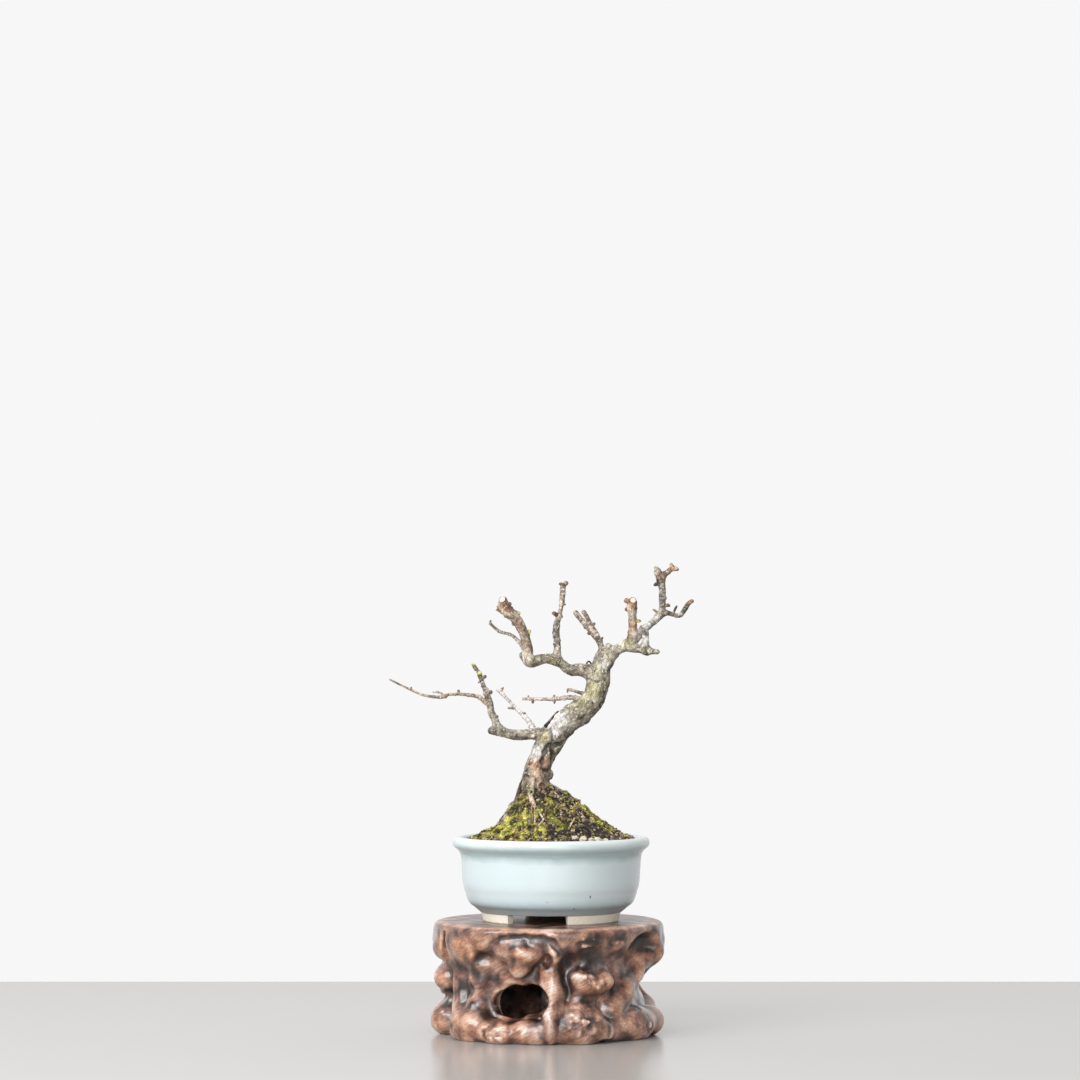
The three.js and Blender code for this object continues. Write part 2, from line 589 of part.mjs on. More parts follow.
// Buds and short spurs, each by its middle [x, y, z, radius]. It grows from the nearest wood.
const BUDS = [
  [42.2, -8, 244.8, 1.6], [42.5, -6, 240, 1.3], [51, -7, 233.5, 1.1],
  [59.5, 13, 254.5, 1.3], [58.5, 11, 240.5, 0.9],
  [69, 11.5, 266.4, 1.2], [60, 15, 264.5, 0.9], [68, 12, 242.5, 1.3],
  [72.5, 10, 243, 0.8], [29.6, 5.5, 224.3, 0.9],
  [25, 11, 232, 1.1], [21.5, 10, 226.5, 1.2], [-18, -19, 238, 1.4],
  [-12, -16, 227.5, 1.5], [-23, -22, 243, 1.4],
  [-34, -26, 233.5, 0.7], [5, 2, 254.8, 1.1], [9.2, 4, 255.4, 1.4], [1, -4, 238, 1.4], [8, -1, 243, 0.9],
  [-45, -3, 209, 1.3], [-40.4, -7, 203.4, 1.5], [-34, -7, 193, 1.4],
  [-52.5, -15, 194.2, 0.9], [-79, -19, 196, 0.6],
  [-27.5, 13, 195.6, 0.9], [-15, 1, 181, 0.8], [2, 17, 191, 0.9],
  [2, 16, 186.7, 0.9], [-10.5, 21, 186.7, 0.9],
  [-13, 24, 190.8, 0.7], [9.5, 15, 193, 0.7], [-37.2, -6.5, 202, 1.2], [-41.4, -5, 198.4, 0.7],
];

// Callus knobs and burrs on the trunk: [x, y, z, radius].
const BURRS = [
  [7.5, -9, 181, 2.6], [2.5, -7.5, 168, 2.4], [-1.5, 4, 146, 3.4], [19.5, -8.5, 186, 2.2],
  [-12.5, -6, 147, 3],
];

const sidesFor = (route) => (route[0][3] > 7 ? 10 : route[0][3] > 2.2 ? 7 : 5);

function budRoute([x, y, z, r]) {
  const middle = new THREE.Vector3(x, y, z);
  let nearest = null;
  for (const route of Object.values(LIMBS))
    for (let i = 0; i + 1 < route.length; i++)
      for (let t = 0; t <= 1; t += 0.1) {
        const spot = new THREE.Vector3(...route[i]).lerp(new THREE.Vector3(...route[i + 1]), t);
        if (!nearest || spot.distanceTo(middle) < nearest.distanceTo(middle)) nearest = spot;
      }
  const tip = middle.clone().add(middle.clone().sub(nearest).setLength(1.1 * r));
  return [[...nearest, 0.7 * r], [...middle, r], [...tip, 0.5 * r]];
}

function burr([x, y, z, r], grow) {
  const lump = new THREE.IcosahedronGeometry(r + grow, 1);
  lump.translate(x, y, z);
  return toSolid(lump);
}

// The tree's solid. A larger one, grown by a small gap, cuts the places that it stands in.
function tree(grow, withBuds) {
  const routes = Object.values(LIMBS);
  const limbs = routes.map((route, seed) => limb(route, sidesFor(route), { grow, lump: 0.1, seed }));
  const buds = withBuds ? BUDS.map((bud) => limb(budRoute(bud), 5, { grow })) : [];
  const burrs = BURRS.map((spot) => burr(spot, grow));
  return wasm.Manifold.union([...[...limbs, ...buds].map(toSolid), ...burrs]);
}

// The soil: a steep root mound. Its height falls along each ray from the peak to the pot's wall.
// A profile gives the height left, as a share, at each share of the way.
const STEEP_SIDE = [
  [0, 1.05], [0.14, 0.92], [0.25, 0.79], [0.38, 0.58], [0.47, 0.38], [0.6, 0.18], [0.78, 0.08],
  [1, 0],
];
const GENTLE_SIDE = [
  [0, 1.05], [0.14, 0.99], [0.24, 0.88], [0.34, 0.76], [0.5, 0.53], [0.67, 0.3], [0.85, 0.1],
  [1, 0],
];
const SOIL_WALL = [
  [49.2, SOIL_EDGE], [47.1 - GAP, POT_BASE + 39], [45.3 - GAP, POT_BASE + 24],
  [42.4 - GAP, POT_BASE + 13.6],
];
const SOIL_FLOOR_RADIUS = 37.6;
const NET_CLEAR = 18;
const SOIL_SPOKES = 32;
const SOIL_SHARES = [1, 0.88, 0.76, 0.64, 0.52, 0.4, 0.28, 0.15];

function moundHeight(x, y) {
  const [dx, dy] = [x - MOUND_PEAK[0], y - MOUND_PEAK[1]];
  const far = Math.hypot(dx, dy);
  if (far < 1e-6) return SOIL_EDGE + MOUND_RISE * STEEP_SIDE[0][1];
  const [ux, uy] = [dx / far, dy / far];
  const facing = MOUND_PEAK[0] * ux + MOUND_PEAK[1] * uy;
  const wall = SOIL_WALL[0][0];
  const reach = -facing + Math.sqrt(facing ** 2 - MOUND_PEAK[0] ** 2 - MOUND_PEAK[1] ** 2 + wall ** 2);
  const share = Math.min(1, far / reach);
  const steep = THREE.MathUtils.smoothstep(-ux, -0.2, 0.75);
  const left = along(STEEP_SIDE, share) * steep + along(GENTLE_SIDE, share) * (1 - steep);
  const crumbs = 0.9 * noise(x / 3.5, y / 3.5, 0.5, 11) + 0.7 * noise(x / 9, y / 9, 0.5, 12);
  return SOIL_EDGE + MOUND_RISE * left + crumbs * Math.min(1, 4 * (1 - share));
}

function soil(lift) {
  const rings = [];
  const turns = Array.from({ length: SOIL_SPOKES }, (_, i) => (2 * Math.PI * i) / SOIL_SPOKES);
  const circle = (r, z) => turns.map((a) => [r * Math.cos(a), r * Math.sin(a), z]);
  rings.push(circle(NET_CLEAR, CLIP_TOP + CLIP_RADIUS + 1));
  rings.push(circle(NET_CLEAR, POT_FLOOR + GAP));
  rings.push(circle(SOIL_FLOOR_RADIUS, POT_FLOOR + GAP));
  SOIL_WALL.slice(1).reverse().forEach(([r, z]) => rings.push(circle(r, z)));
  for (const share of SOIL_SHARES) {
    rings.push(turns.map((a) => {
      const wall = [SOIL_WALL[0][0] * Math.cos(a), SOIL_WALL[0][0] * Math.sin(a)];
      const [x, y] = MOUND_PEAK.map((v, m) => v + share * (wall[m] - v));
      return [x, y, moundHeight(x, y) + lift];
    }));
  }
  const top = [...MOUND_PEAK, moundHeight(...MOUND_PEAK) + lift];
  return toSolid(skin(rings, [0, 0, CLIP_TOP + CLIP_RADIUS + 1], top));
}

// Moss cushions: a plain outline on the soil [x, y, half length, half width, turn], and how thick each is.
const MOSS = {
  moss_left_slope: [-24, -14, 12, 8, 60, 3],
  moss_front_slope: [-19, -26, 11, 8, 20, 3.2],
  moss_front_foot: [-13, -36.5, 13, 5, 3, 2.6],
  moss_middle: [-2, -19, 4.5, 9, 10, 2.2],
  moss_small_tuft: [5, -31, 5, 4, 0, 2],
  moss_right_crest: [15, -2, 8, 5.5, -25, 2.4],
  moss_right_slope: [26, -12, 9, 5.5, -30, 2.2],
  moss_back_left: [-20, 20, 13, 9, -40, 3],
  moss_back_right: [12, 22, 13, 8, 25, 2.6],
  moss_left_foot: [-36, -8, 6, 11, 0, 2],
};
const MOSS_SIDES = 11;

function cushion([cx, cy, long, wide, turn, thick], seed) {
  const a = THREE.MathUtils.degToRad(turn);
  const spot = (share, i) => {
    const b = (2 * Math.PI * i) / MOSS_SIDES;
    const wobble = share * (1 + 0.2 * noise(2 * Math.cos(b), 2 * Math.sin(b), 0, seed));
    const [u, v] = [long * wobble * Math.cos(b), wide * wobble * Math.sin(b)];
    return [cx + u * Math.cos(a) - v * Math.sin(a), cy + u * Math.sin(a) + v * Math.cos(a)];
  };
  const ring = (share, rise) =>
    Array.from({ length: MOSS_SIDES }, (_, i) => {
      const [x, y] = spot(share, i);
      const tufts = 1 + 0.35 * noise(x / 2.5, y / 2.5, 0, seed);
      return [x, y, moundHeight(x, y) + (rise > 0 ? rise * tufts : rise)];
    });
  const rings = [ring(0.95, -2), ring(1, 0.5 * thick), ring(0.7, 0.95 * thick), ring(0.35, thick)];
  const soilTop = moundHeight(cx, cy);
  return toSolid(skin(rings, [cx, cy, soilTop - 2], [cx, cy, soilTop + 1.05 * thick]));
}

// Wires: what is left of the ties that held the tree. Each is a route, and its ends are buried.
const WIRES = {
  anchor_wire: [
    [13, -33, 106, 0.8], [13.4, -34, 114, 0.8], [14.5, -34.5, 117.4, 0.8],
    [17, -35, 118.6, 0.8], [19.8, -35, 117.6, 0.8],
    [21.4, -34.5, 114.5, 0.8], [21.8, -34, 106, 0.8],
  ],
  trunk_wire_stub: [
    [7, -1, 180, 0.6], [4.2, -4.4, 181.9, 0.7], [1.8, -4.9, 179.8, 0.7], [-0.2, -5.3, 177.3, 0.8],
    [-2.2, -4.8, 175, 1], [-3.4, -4.1, 173.7, 1.1],
  ],
  crotch_wire_loop: [
    [21.4, 1, 205, 0.5], [20.4, 1, 209, 0.5], [21.2, 1, 210.6, 0.5], [22.6, 1, 209.8, 0.5],
    [23.4, 1, 206, 0.5],
  ],
};
const wire = (route, grow) => toSolid(limb(route, 6, { grow }));
const wires = wasm.Manifold.union(Object.values(WIRES).map((route) => wire(route, GAP)));

const treeRoom = tree(GAP, false);
const treeSolid = largest(tree(0, true).subtract(wires));
add("quince_tree", toGeometry(treeSolid), 0x8d8273, 0.8);
const soilSolid = largest(soil(0).subtract(treeRoom).subtract(wires));
add("soil_mound", toGeometry(soilSolid), 0x4a4138, 0.95);

const raisedSoil = soil(GAP);
let taken = wasm.Manifold.union([treeRoom, raisedSoil, wires]);
Object.entries(MOSS).forEach(([name, spot], seed) => {
  const clump = largest(cushion(spot, seed + 30).subtract(taken));
  add(name, toGeometry(clump), 0x8a9a35, 0.95);
  taken = taken.add(clump);
});
for (const [name, route] of Object.entries(WIRES)) add(name, toGeometry(wire(route, 0)), 0x151515, 0.4);

// Pale grains of pumice, lying at the front right of the soil: [x, y, radius].
const GRAINS = [[13.2, -41.5, 1.9], [17.8, -42.2, 2.1], [22, -41, 1.6], [26, -39.2, 2.1], [30.2, -37, 1.6]];
GRAINS.forEach(([x, y, r], seed) => {
  const grain = new THREE.IcosahedronGeometry(r, 0);
  const place = grain.getAttribute("position");
  for (let i = 0; i < place.count; i++) {
    const p = new THREE.Vector3().fromBufferAttribute(place, i);
    p.multiplyScalar(1 + 0.18 * noise(p.x / r + 5, p.y / r, p.z / r, seed + 50));
    place.setXYZ(i, p.x, p.y, 0.8 * p.z);
  }
  grain.translate(x, y, moundHeight(x, y) + 0.62 * r);
  add(`pumice_grain_${seed + 1}`, toGeometry(largest(toSolid(grain).subtract(taken))), 0xe4dccb, 0.9);
});

// The origin goes to the middle of the object's box, at the table.
const box = new THREE.Box3().setFromObject(object, true);
const middle = box.getCenter(new THREE.Vector3());
object.position.set(-middle.x, -middle.y, -box.min.z);

export default object;
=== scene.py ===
import math

import bpy
import numpy as np
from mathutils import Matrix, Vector


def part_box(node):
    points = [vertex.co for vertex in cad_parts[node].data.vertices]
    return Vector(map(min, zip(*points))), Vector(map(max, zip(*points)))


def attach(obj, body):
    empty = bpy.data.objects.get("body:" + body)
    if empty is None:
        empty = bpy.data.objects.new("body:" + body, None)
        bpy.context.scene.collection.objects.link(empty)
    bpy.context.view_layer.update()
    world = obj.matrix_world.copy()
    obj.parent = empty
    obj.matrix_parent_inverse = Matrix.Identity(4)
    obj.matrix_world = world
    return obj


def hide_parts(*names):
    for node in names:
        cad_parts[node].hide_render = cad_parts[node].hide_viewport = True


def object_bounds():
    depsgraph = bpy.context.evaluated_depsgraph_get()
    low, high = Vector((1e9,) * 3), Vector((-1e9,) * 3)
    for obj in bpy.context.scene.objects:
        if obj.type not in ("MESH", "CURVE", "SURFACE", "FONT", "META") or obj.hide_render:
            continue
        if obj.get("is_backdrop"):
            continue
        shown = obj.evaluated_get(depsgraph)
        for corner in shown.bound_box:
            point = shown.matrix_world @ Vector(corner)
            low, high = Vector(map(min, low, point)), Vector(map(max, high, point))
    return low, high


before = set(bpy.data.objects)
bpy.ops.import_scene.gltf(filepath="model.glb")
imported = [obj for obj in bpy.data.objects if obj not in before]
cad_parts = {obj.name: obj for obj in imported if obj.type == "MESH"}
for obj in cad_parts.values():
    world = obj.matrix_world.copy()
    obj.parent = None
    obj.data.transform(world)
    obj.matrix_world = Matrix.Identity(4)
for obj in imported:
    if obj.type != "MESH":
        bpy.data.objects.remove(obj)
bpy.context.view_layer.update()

# The room
# A white photo corner: a pale polished stone table whose far edge lies just behind the stand, a bright white
# room beyond it, soft light from the upper left, and a long lens 1.83 m in front, above the moss and almost
# level.
MM = 0.001
pot_low, pot_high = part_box("celadon_pot")
POT_AXIS = np.array([(pot_low.x + pot_high.x) / 2, (pot_low.y + pot_high.y) / 2, 0])
CAMERA_PLACE = [-6.3, -1828, 210.4]
CAMERA_TILT = math.radians(2.18)
LENS = 106.7
SENSOR_WIDTH = 36
TABLE_DEPTH_BEHIND = 289
TABLE_SIZE = 4000
TABLE_THICKNESS = 600


def metres(points):
    return np.asarray(points, float).reshape(-1, 3) * MM + POT_AXIS


def srgb(code):
    """The linear colour of an sRGB hex value."""
    parts = [int(code[i : i + 2], 16) / 255 for i in (1, 3, 5)]
    return tuple(v / 12.92 if v <= 0.04045 else ((v + 0.055) / 1.055) ** 2.4 for v in parts) + (1.0,)


def finish(name, **sockets):
    """A new material with the shader's own values set, its node tree and its shader."""
    material = bpy.data.materials.new(name)
    material.use_nodes = True
    shader = material.node_tree.nodes["Principled BSDF"]
    for key, value in sockets.items():
        shader.inputs[key.replace("_", " ")].default_value = value
    return material, material.node_tree, shader


def add(tree, kind, links=None, out=0, stops=None, **settings):
    """Adds a node and gives its output. links holds an input's value, or the output that feeds it."""
    made = tree.nodes.new(kind)
    for key, value in settings.items():
        setattr(made, key, value)
    for n, (place, code) in enumerate(stops or []):
        ramp = made.color_ramp.elements
        element = ramp[n] if n < 2 else ramp.new(place)
        element.position = place
        element.color = srgb(code)
    for key, value in (links or {}).items():
        if isinstance(value, bpy.types.NodeSocket):
            tree.links.new(value, made.inputs[key])
        else:
            made.inputs[key].default_value = value
    return made.outputs[out]


def flat_sheet(name, corners, material):
    mesh = bpy.data.meshes.new(name)
    mesh.from_pydata(metres(corners).tolist(), [], [(0, 1, 2, 3)])
    sheet = bpy.data.objects.new(name, mesh)
    bpy.context.collection.objects.link(sheet)
    mesh.materials.append(material)
    sheet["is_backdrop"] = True


table_top, tree, shader = finish("polished_pale_stone", Roughness=0.22, Base_Color=srgb("#aaa7a3"))
half, back, low = TABLE_SIZE / 2, TABLE_DEPTH_BEHIND, -TABLE_THICKNESS
top_corners = [[-half, -half, 0], [half, -half, 0], [half, back, 0], [-half, back, 0]]
flat_sheet("table_top", top_corners, table_top)
far_edge = [[half, back, low], [-half, back, low], [-half, back, 0], [half, back, 0]]
flat_sheet("table_edge", far_edge, table_top)

# Each soft light: name, place, aim, size, power in watts and colour.
LIGHTS = [
    ("window_left", [-900, -900, 900], [0, 0, 140], 850, 18, "#fbfdff"),
    ("window_front", [-350, -1900, 620], [0, 0, 140], 700, 18, "#fcfdff"),
    ("low_fill", [450, -1700, 140], [0, 0, 70], 600, 4.2, "#fdfcfa"),
    ("ceiling", [-100, -150, 1500], [0, 0, 0], 1000, 6, "#fdfaf6"),
]
for name, spot, aim, size, power, tint in LIGHTS:
    data = bpy.data.lights.new(name, "AREA")
    data.size = size * MM
    data.energy = power
    data.color = srgb(tint)[:3]
    light = bpy.data.objects.new(name, data)
    light.location = metres(spot)[0]
    light.rotation_euler = Vector(metres(aim)[0] - metres(spot)[0]).to_track_quat("-Z", "Y").to_euler()
    light.visible_camera = False
    bpy.context.collection.objects.link(light)

# The room is bright white beyond the far edge of the table, and dim on the near side.
world = bpy.data.worlds.new("white_room")
world.use_nodes = True
tree = world.node_tree
direction = add(tree, "ShaderNodeTexCoord", out="Generated")
beyond = add(tree, "ShaderNodeSeparateXYZ", {0: direction}, out="Y")
ends = {"From Min": -0.12, "From Max": 0.12, "To Min": 0.25, "To Max": 0.94}
glow = add(tree, "ShaderNodeMapRange", {"Value": beyond, **ends})
tree.links.new(glow, tree.nodes["Background"].inputs["Strength"])
tree.nodes["Background"].inputs["Color"].default_value = srgb("#fefefe")
bpy.context.scene.world = world
bpy.context.scene.view_settings.view_transform = "Standard"

camera_data = bpy.data.cameras.new("camera")
camera_data.lens = LENS
camera_data.sensor_width = SENSOR_WIDTH
camera = bpy.data.objects.new("camera", camera_data)
camera.location = metres(CAMERA_PLACE)[0]
camera.rotation_euler = (math.pi / 2 + CAMERA_TILT, 0, 0)
bpy.context.collection.objects.link(camera)
bpy.context.scene.camera = camera

# The stand
# A round display stand carved from one block of root burl: a flat top over gnarled roots, hollow underneath,
# with knuckles, coves and a pierced hole cut by gouge, then scraped, stained dark and lacquered.
STAND_HEIGHT = 63.7
STAND_RADIUS = 65.5
STAND_CENTRE_X = -1.4
CAVITY_RADIUS = 43
CAVITY_HEIGHT = 45
TOP_FLARE = 1.1
WALL_RADIUS = 53
WALL_TOP = 56
KNUCKLE_REACH = 1.5
BEYOND = 6
RIM_EASE = 5
FUSE = 3.4
CUT_EASE = 2.4
GOUGE_EASE = 1.2
STAND_STEP = 1
ROOM_ROUND = 5
ROOM_ABOVE = 7
RELIEF_REACH = 5
EDGE_BLUR = 3
WIDE_BLUR = 26
RIM_STAIN = 0.3

# The lower edge of the flared top: turn from the front in degrees, height.
TOP_EDGE = [
    [-180, 50], [-120, 48], [-95, 47], [-85, 45.5], [-73, 46], [-64, 51], [-55, 49], [-42, 48], [-35, 53],
    [-29, 58], [-20, 59.6], [-8, 59.6], [-1, 58.4], [4, 55], [10, 56.5], [30, 57], [46, 58], [56, 60],
    [66, 60], [72, 52], [78, 45], [86, 45], [96, 50], [140, 52], [180, 50],
]

# Rounded knuckles: turn, radius, height, then half sizes round, outwards and upwards.
KNUCKLES = [
    [-15, 55, 50.5, 17, 8.5, 7.5], [-13, 59, 49.5, 7, 6.5, 4.5], [-16, 57, 43, 7, 6.5, 6.5],
    [3.5, 58, 50.5, 4.5, 6, 6.5], [-50, 54, 50, 13, 11, 9], [-80, 57, 50, 9, 9.5, 8.5],
    [-79, 57, 32.5, 8, 8.5, 6.5], [-84, 57, 9, 10, 10.5, 10], [-50, 56, 8, 15, 10.5, 11],
    [-27, 59, 5, 7.5, 7.5, 6.5], [-11, 58, 7, 9, 6.5, 6], [0.5, 59, 10, 4.5, 6.5, 10],
    [18, 56, 10, 13.5, 10.5, 12], [25, 55, 33.5, 12, 9, 7], [18, 57, 37, 6, 6.5, 4], [33, 56, 34, 5, 7, 5.5],
    [58, 55, 8, 17, 11, 10], [78, 56, 8, 12, 9.5, 9], [77, 57, 48, 8, 8.5, 9.5], [112, 57, 9, 12, 9, 11],
    [120, 57, 45, 12, 8, 9], [142, 57, 7, 10, 9, 8], [176, 57, 9, 13, 9.5, 10], [-165, 57, 47, 13, 8, 8],
    [-152, 57, 7, 10, 9, 9], [-138, 56, 38, 10, 9, 8], [-122, 57, 10, 12, 9.5, 11], [-105, 57, 46, 12, 8, 8],
]

# Roots that run between them: a route of turn, radius, height and half thickness.
STAND_ROOTS = [
    [[-44, 53, 46, 7], [-46, 53, 32, 7], [-46, 54, 16, 7]],
    [[-66, 53, 45, 6], [-64, 52, 30, 6], [-60, 54, 14, 7]],
    [[-35, 58, 5, 5.5], [-5, 58, 6, 5.5], [30, 57, 6, 6]],
    [[1, 54, 42, 5.5], [2.5, 54, 30, 6], [2, 56, 18, 6]],
    [[24, 51, 45, 7], [22, 51, 30, 7], [18, 53, 14, 8]],
    [[72, 54, 44, 6.5], [63, 51, 34, 6.5], [50, 51, 27, 7], [40, 53, 17, 7]],
    [[98, 50, 46, 8], [94, 43, 30, 6], [88, 46, 14, 8]],
    [[116, 55, 46, 8], [121, 50, 28, 6.5], [114, 56, 10, 8]],
    [[150, 55, 46, 8], [154, 55, 30, 7], [145, 56, 10, 7]],
    [[178, 55, 46, 8], [-174, 54, 28, 7], [176, 56, 10, 8]],
    [[-150, 55, 46, 8], [-146, 54, 34, 8], [-150, 56, 12, 8]],
    [[-112, 55, 46, 8], [-118, 54, 30, 7], [-121, 56, 12, 8]],
    [[-92, 54, 46, 8], [-84, 54, 34, 7], [-88, 54, 12, 8]],
    [[30, 57, 6, 6], [62, 56, 6, 6], [90, 56, 6, 5.5]],
    [[-60, 57, 5.5, 6], [-35, 58, 6, 6]],
]

# Carved away: turn, radius, height and the same half sizes as a knuckle.
HOLLOWS = [
    [-21.5, 54, 22, 8.5, 22, 10.5], [-11, 54, 23.5, 8, 22, 9.5], [-6, 54, 24, 6.5, 22, 7],
    [-30, 46, 21, 6.5, 9, 8.5], [-35, 66, 45, 7.5, 10.5, 5.5], [-1, 64, 45, 3.5, 11, 5],
    [60, 67, 51.5, 14, 13.5, 8], [24, 67, 25, 10, 10, 3.5], [28, 75, 47, 24, 17, 8.5],
    [11.5, 68, 30, 3, 9, 7], [72, 71, 26, 24, 20, 7.5], [86, 70, 27, 16, 20, 7.5], [-52, 70, 28, 13, 14.5, 6],
    [-84, 71, 41, 16, 11.5, 2.6], [-85, 69, 21, 12, 12, 3], [-38, 66, -1, 5, 8, 2.5], [31, 64, -1, 5, 10, 3],
    [70, 64, -2, 9, 12, 5], [98, 60, -1, 8, 16, 6], [104, 54, 26, 9, 20, 10], [135, 54, 26, 9, 20, 11],
    [166, 54, 27, 8, 20, 9], [160, 60, -1, 7, 16, 5], [-137, 60, -1, 7, 16, 5], [-133, 54, 20, 6, 20, 7],
    [-103, 60, -1, 7, 16, 5], [-100, 54, 24, 8, 20, 9],
]

# Grooves cut with small gouges, two to five millimetres wide: routes like the roots.
GOUGES = [
    [[-36, 64, 47, 1.4], [-30, 64, 54, 1.9], [-24, 64, 57.6, 2], [-12, 64.2, 58.6, 2], [-3, 64.2, 58.2, 2]],
    [[-3, 64.2, 58.2, 2], [2, 64, 56.6, 1.9], [6.2, 64, 52, 1.8], [5.4, 63.5, 46, 1.5]],
    [[4.5, 66, -2, 1.7], [4, 66, 10, 1.6], [3.5, 64.5, 20, 1]],
    [[31, 65, 0, 2.4], [32, 64.5, 9, 2.2], [30, 63, 20, 1.6], [36, 61, 27, 1.2]],
    [[-33.5, 65.5, 1, 1.8], [-34, 65, 7, 1.6], [-30, 64, 12, 1.2]],
    [[-28, 66.6, 8.5, 1.4], [-22, 67, 3, 1.5]],
    [[-18, 66, 0, 1.6], [-16.5, 65, 6, 1.4], [-12, 64, 11, 1]],
    [[-7, 65, 14, 1.8], [-11, 66, 6, 1.6]],
    [[-58, 62, 41, 1.3], [-63, 60, 33, 1.6], [-61, 60, 22, 1.4]],
    [[-54, 62, 40, 1.2], [-58, 60, 32, 1.5], [-57, 60, 24, 1.2]],
    [[-50, 62, 39, 1], [-53, 61, 34, 1.3], [-52, 61, 30, 0.9]],
    [[-59, 66.5, 17, 1.4], [-55, 67.5, 7, 1.6], [-50, 67.5, 14, 1.2]],
    [[-46, 66.5, 18, 1.4], [-38, 66.5, 9, 1.6]],
    [[-64, 64.5, 58, 1.8], [-66, 63, 51, 2.6], [-69, 62, 44, 2.4]],
    [[-21, 64, 44, 1.2], [-18, 64.5, 39, 1.4], [-13, 64, 37.5, 1.2]],
    [[16, 63, 41, 1.6], [24, 64, 40.5, 1.8], [31, 63, 39, 1.6]],
]

# Where bark-like wrinkles are left rough: turn, radius, height and reach.
CRINKLES = [
    [17, 66, 14, 14], [24, 64, 38, 10], [20, 64, 54, 9], [38, 64, 55, 7], [60, 66, 8, 9], [-26, 66, 7, 7],
]


def around(turn, radius, height):
    a = math.radians(turn)
    return np.array([STAND_CENTRE_X + radius * math.sin(a), -radius * math.cos(a), height])


CORNERS = np.array([[n & 1, (n >> 1) & 1, n >> 2] for n in range(8)])


def noise(points, seed):
    """Smooth noise from -1 to 1 with lumps one unit apart."""
    p = np.asarray(points, float)
    cell = np.floor(p).astype(np.int64)
    part = p - cell
    part = part * part * (3 - 2 * part)
    total = np.zeros(len(p))
    for corner in CORNERS:
        c = cell + corner
        h = (c[:, 0] * 374761393) ^ (c[:, 1] * 668265263) ^ (c[:, 2] * 2147483647) ^ (seed * 974634777)
        h &= 0xFFFFFFFF
        h ^= h >> 13
        h = (h * 1274126177) & 0xFFFFFFFF
        h ^= h >> 16
        total += np.prod(np.where(corner, part, 1 - part), axis=1) * (h / 2147483648 - 1)
    return total


def join(a, b, ease):
    return np.minimum(a, b) - np.maximum(ease - np.abs(a - b), 0) ** 2 / ease * 0.25


def cut(a, b, ease):
    return -join(-a, b, ease)


def egg_distance(p, spot):
    turn, radius, height, wide, out, up = spot
    a = math.radians(turn)
    x, y, z = (p - around(turn, radius, height)).T
    along, outwards = x * math.cos(a) + y * math.sin(a), x * math.sin(a) - y * math.cos(a)
    q = np.stack([along, outwards, z], 1) / [wide, out, up]
    near = np.linalg.norm(q, axis=1)
    return near * (near - 1) / np.maximum(np.linalg.norm(q / [wide, out, up], axis=1), 1e-6)


def bar_distance(p, a, b, thick_a, thick_b):
    t = np.clip((p - a) @ (b - a) / np.dot(b - a, b - a), 0, 1)
    return np.linalg.norm(p - a - t[:, None] * (b - a), axis=1) - thick_a - t * (thick_b - thick_a)


def work(field, axes, low, high, form, mix):
    """Mixes a form's distance into the part of the field between two corners."""
    spans = [np.searchsorted(a, [lo, hi]) for a, lo, hi in zip(axes, low, high)]
    room = tuple(slice(*span) for span in spans)
    points = np.stack(np.meshgrid(*[a[s] for a, s in zip(axes, room)], indexing="ij"), -1)
    here = field[room]
    field[room] = mix(here, form(points.reshape(-1, 3)).reshape(here.shape))


def work_route(field, axes, route, mix, margin):
    """Mixes bars between a route's points [x, y, z, half thickness] into the field, one after another."""
    for start, end in zip(route, route[1:]):
        a, b = np.array(start[:3]), np.array(end[:3])
        room = max(start[3], end[3]) + margin
        form = lambda p: bar_distance(p, a, b, start[3], end[3])
        work(field, axes, np.minimum(a, b) - room, np.maximum(a, b) + room, form, mix)


def mesh_of(values, low, step):
    """Squares over the zero of a grid of distances, with one vertex in each cell that it crosses."""
    inside = values < 0
    cells = tuple(n - 1 for n in values.shape)
    some, every = np.zeros(cells, bool), np.ones(cells, bool)
    for corner in CORNERS:
        part = inside[tuple(slice(c, c + n) for c, n in zip(corner, cells))]
        some |= part
        every &= part
    where = np.argwhere(some & ~every)
    number = np.full(cells, -1, np.int64)
    number[tuple(where.T)] = np.arange(len(where))
    height = np.stack([values[tuple((where + c).T)] for c in CORNERS], 1)
    total, count = np.zeros((len(where), 3)), np.zeros(len(where))
    for n in range(8):
        for axis in range(3):
            if CORNERS[n][axis]:
                continue
            one, two = height[:, n], height[:, n | (1 << axis)]
            crossed = (one < 0) != (two < 0)
            share = one / np.where(crossed, one - two, 1)
            total += crossed[:, None] * (CORNERS[n] + share[:, None] * np.eye(3)[axis])
            count += crossed
    points = low + (where + total / count[:, None]) * step
    faces = []
    for axis in range(3):
        u, v = (axis + 1) % 3, (axis + 2) % 3
        line = np.moveaxis(inside, axis, 0)
        changed = np.argwhere(np.moveaxis(line[:-1] != line[1:], 0, axis))
        changed = changed[(changed[:, u] > 0) & (changed[:, v] > 0)]
        changed = changed[(changed[:, u] < cells[u]) & (changed[:, v] < cells[v])]
        corners = []
        for du, dv in ((0, 0), (1, 0), (1, 1), (0, 1)):
            c = changed.copy()
            c[:, u] -= du
            c[:, v] -= dv
            corners.append(number[tuple(c.T)])
        quad = np.stack(corners, axis=1)
        outer = ~inside[tuple(changed.T)]
        quad[outer] = quad[outer][:, ::-1]
        faces.append(quad)
    return points, np.concatenate(faces)


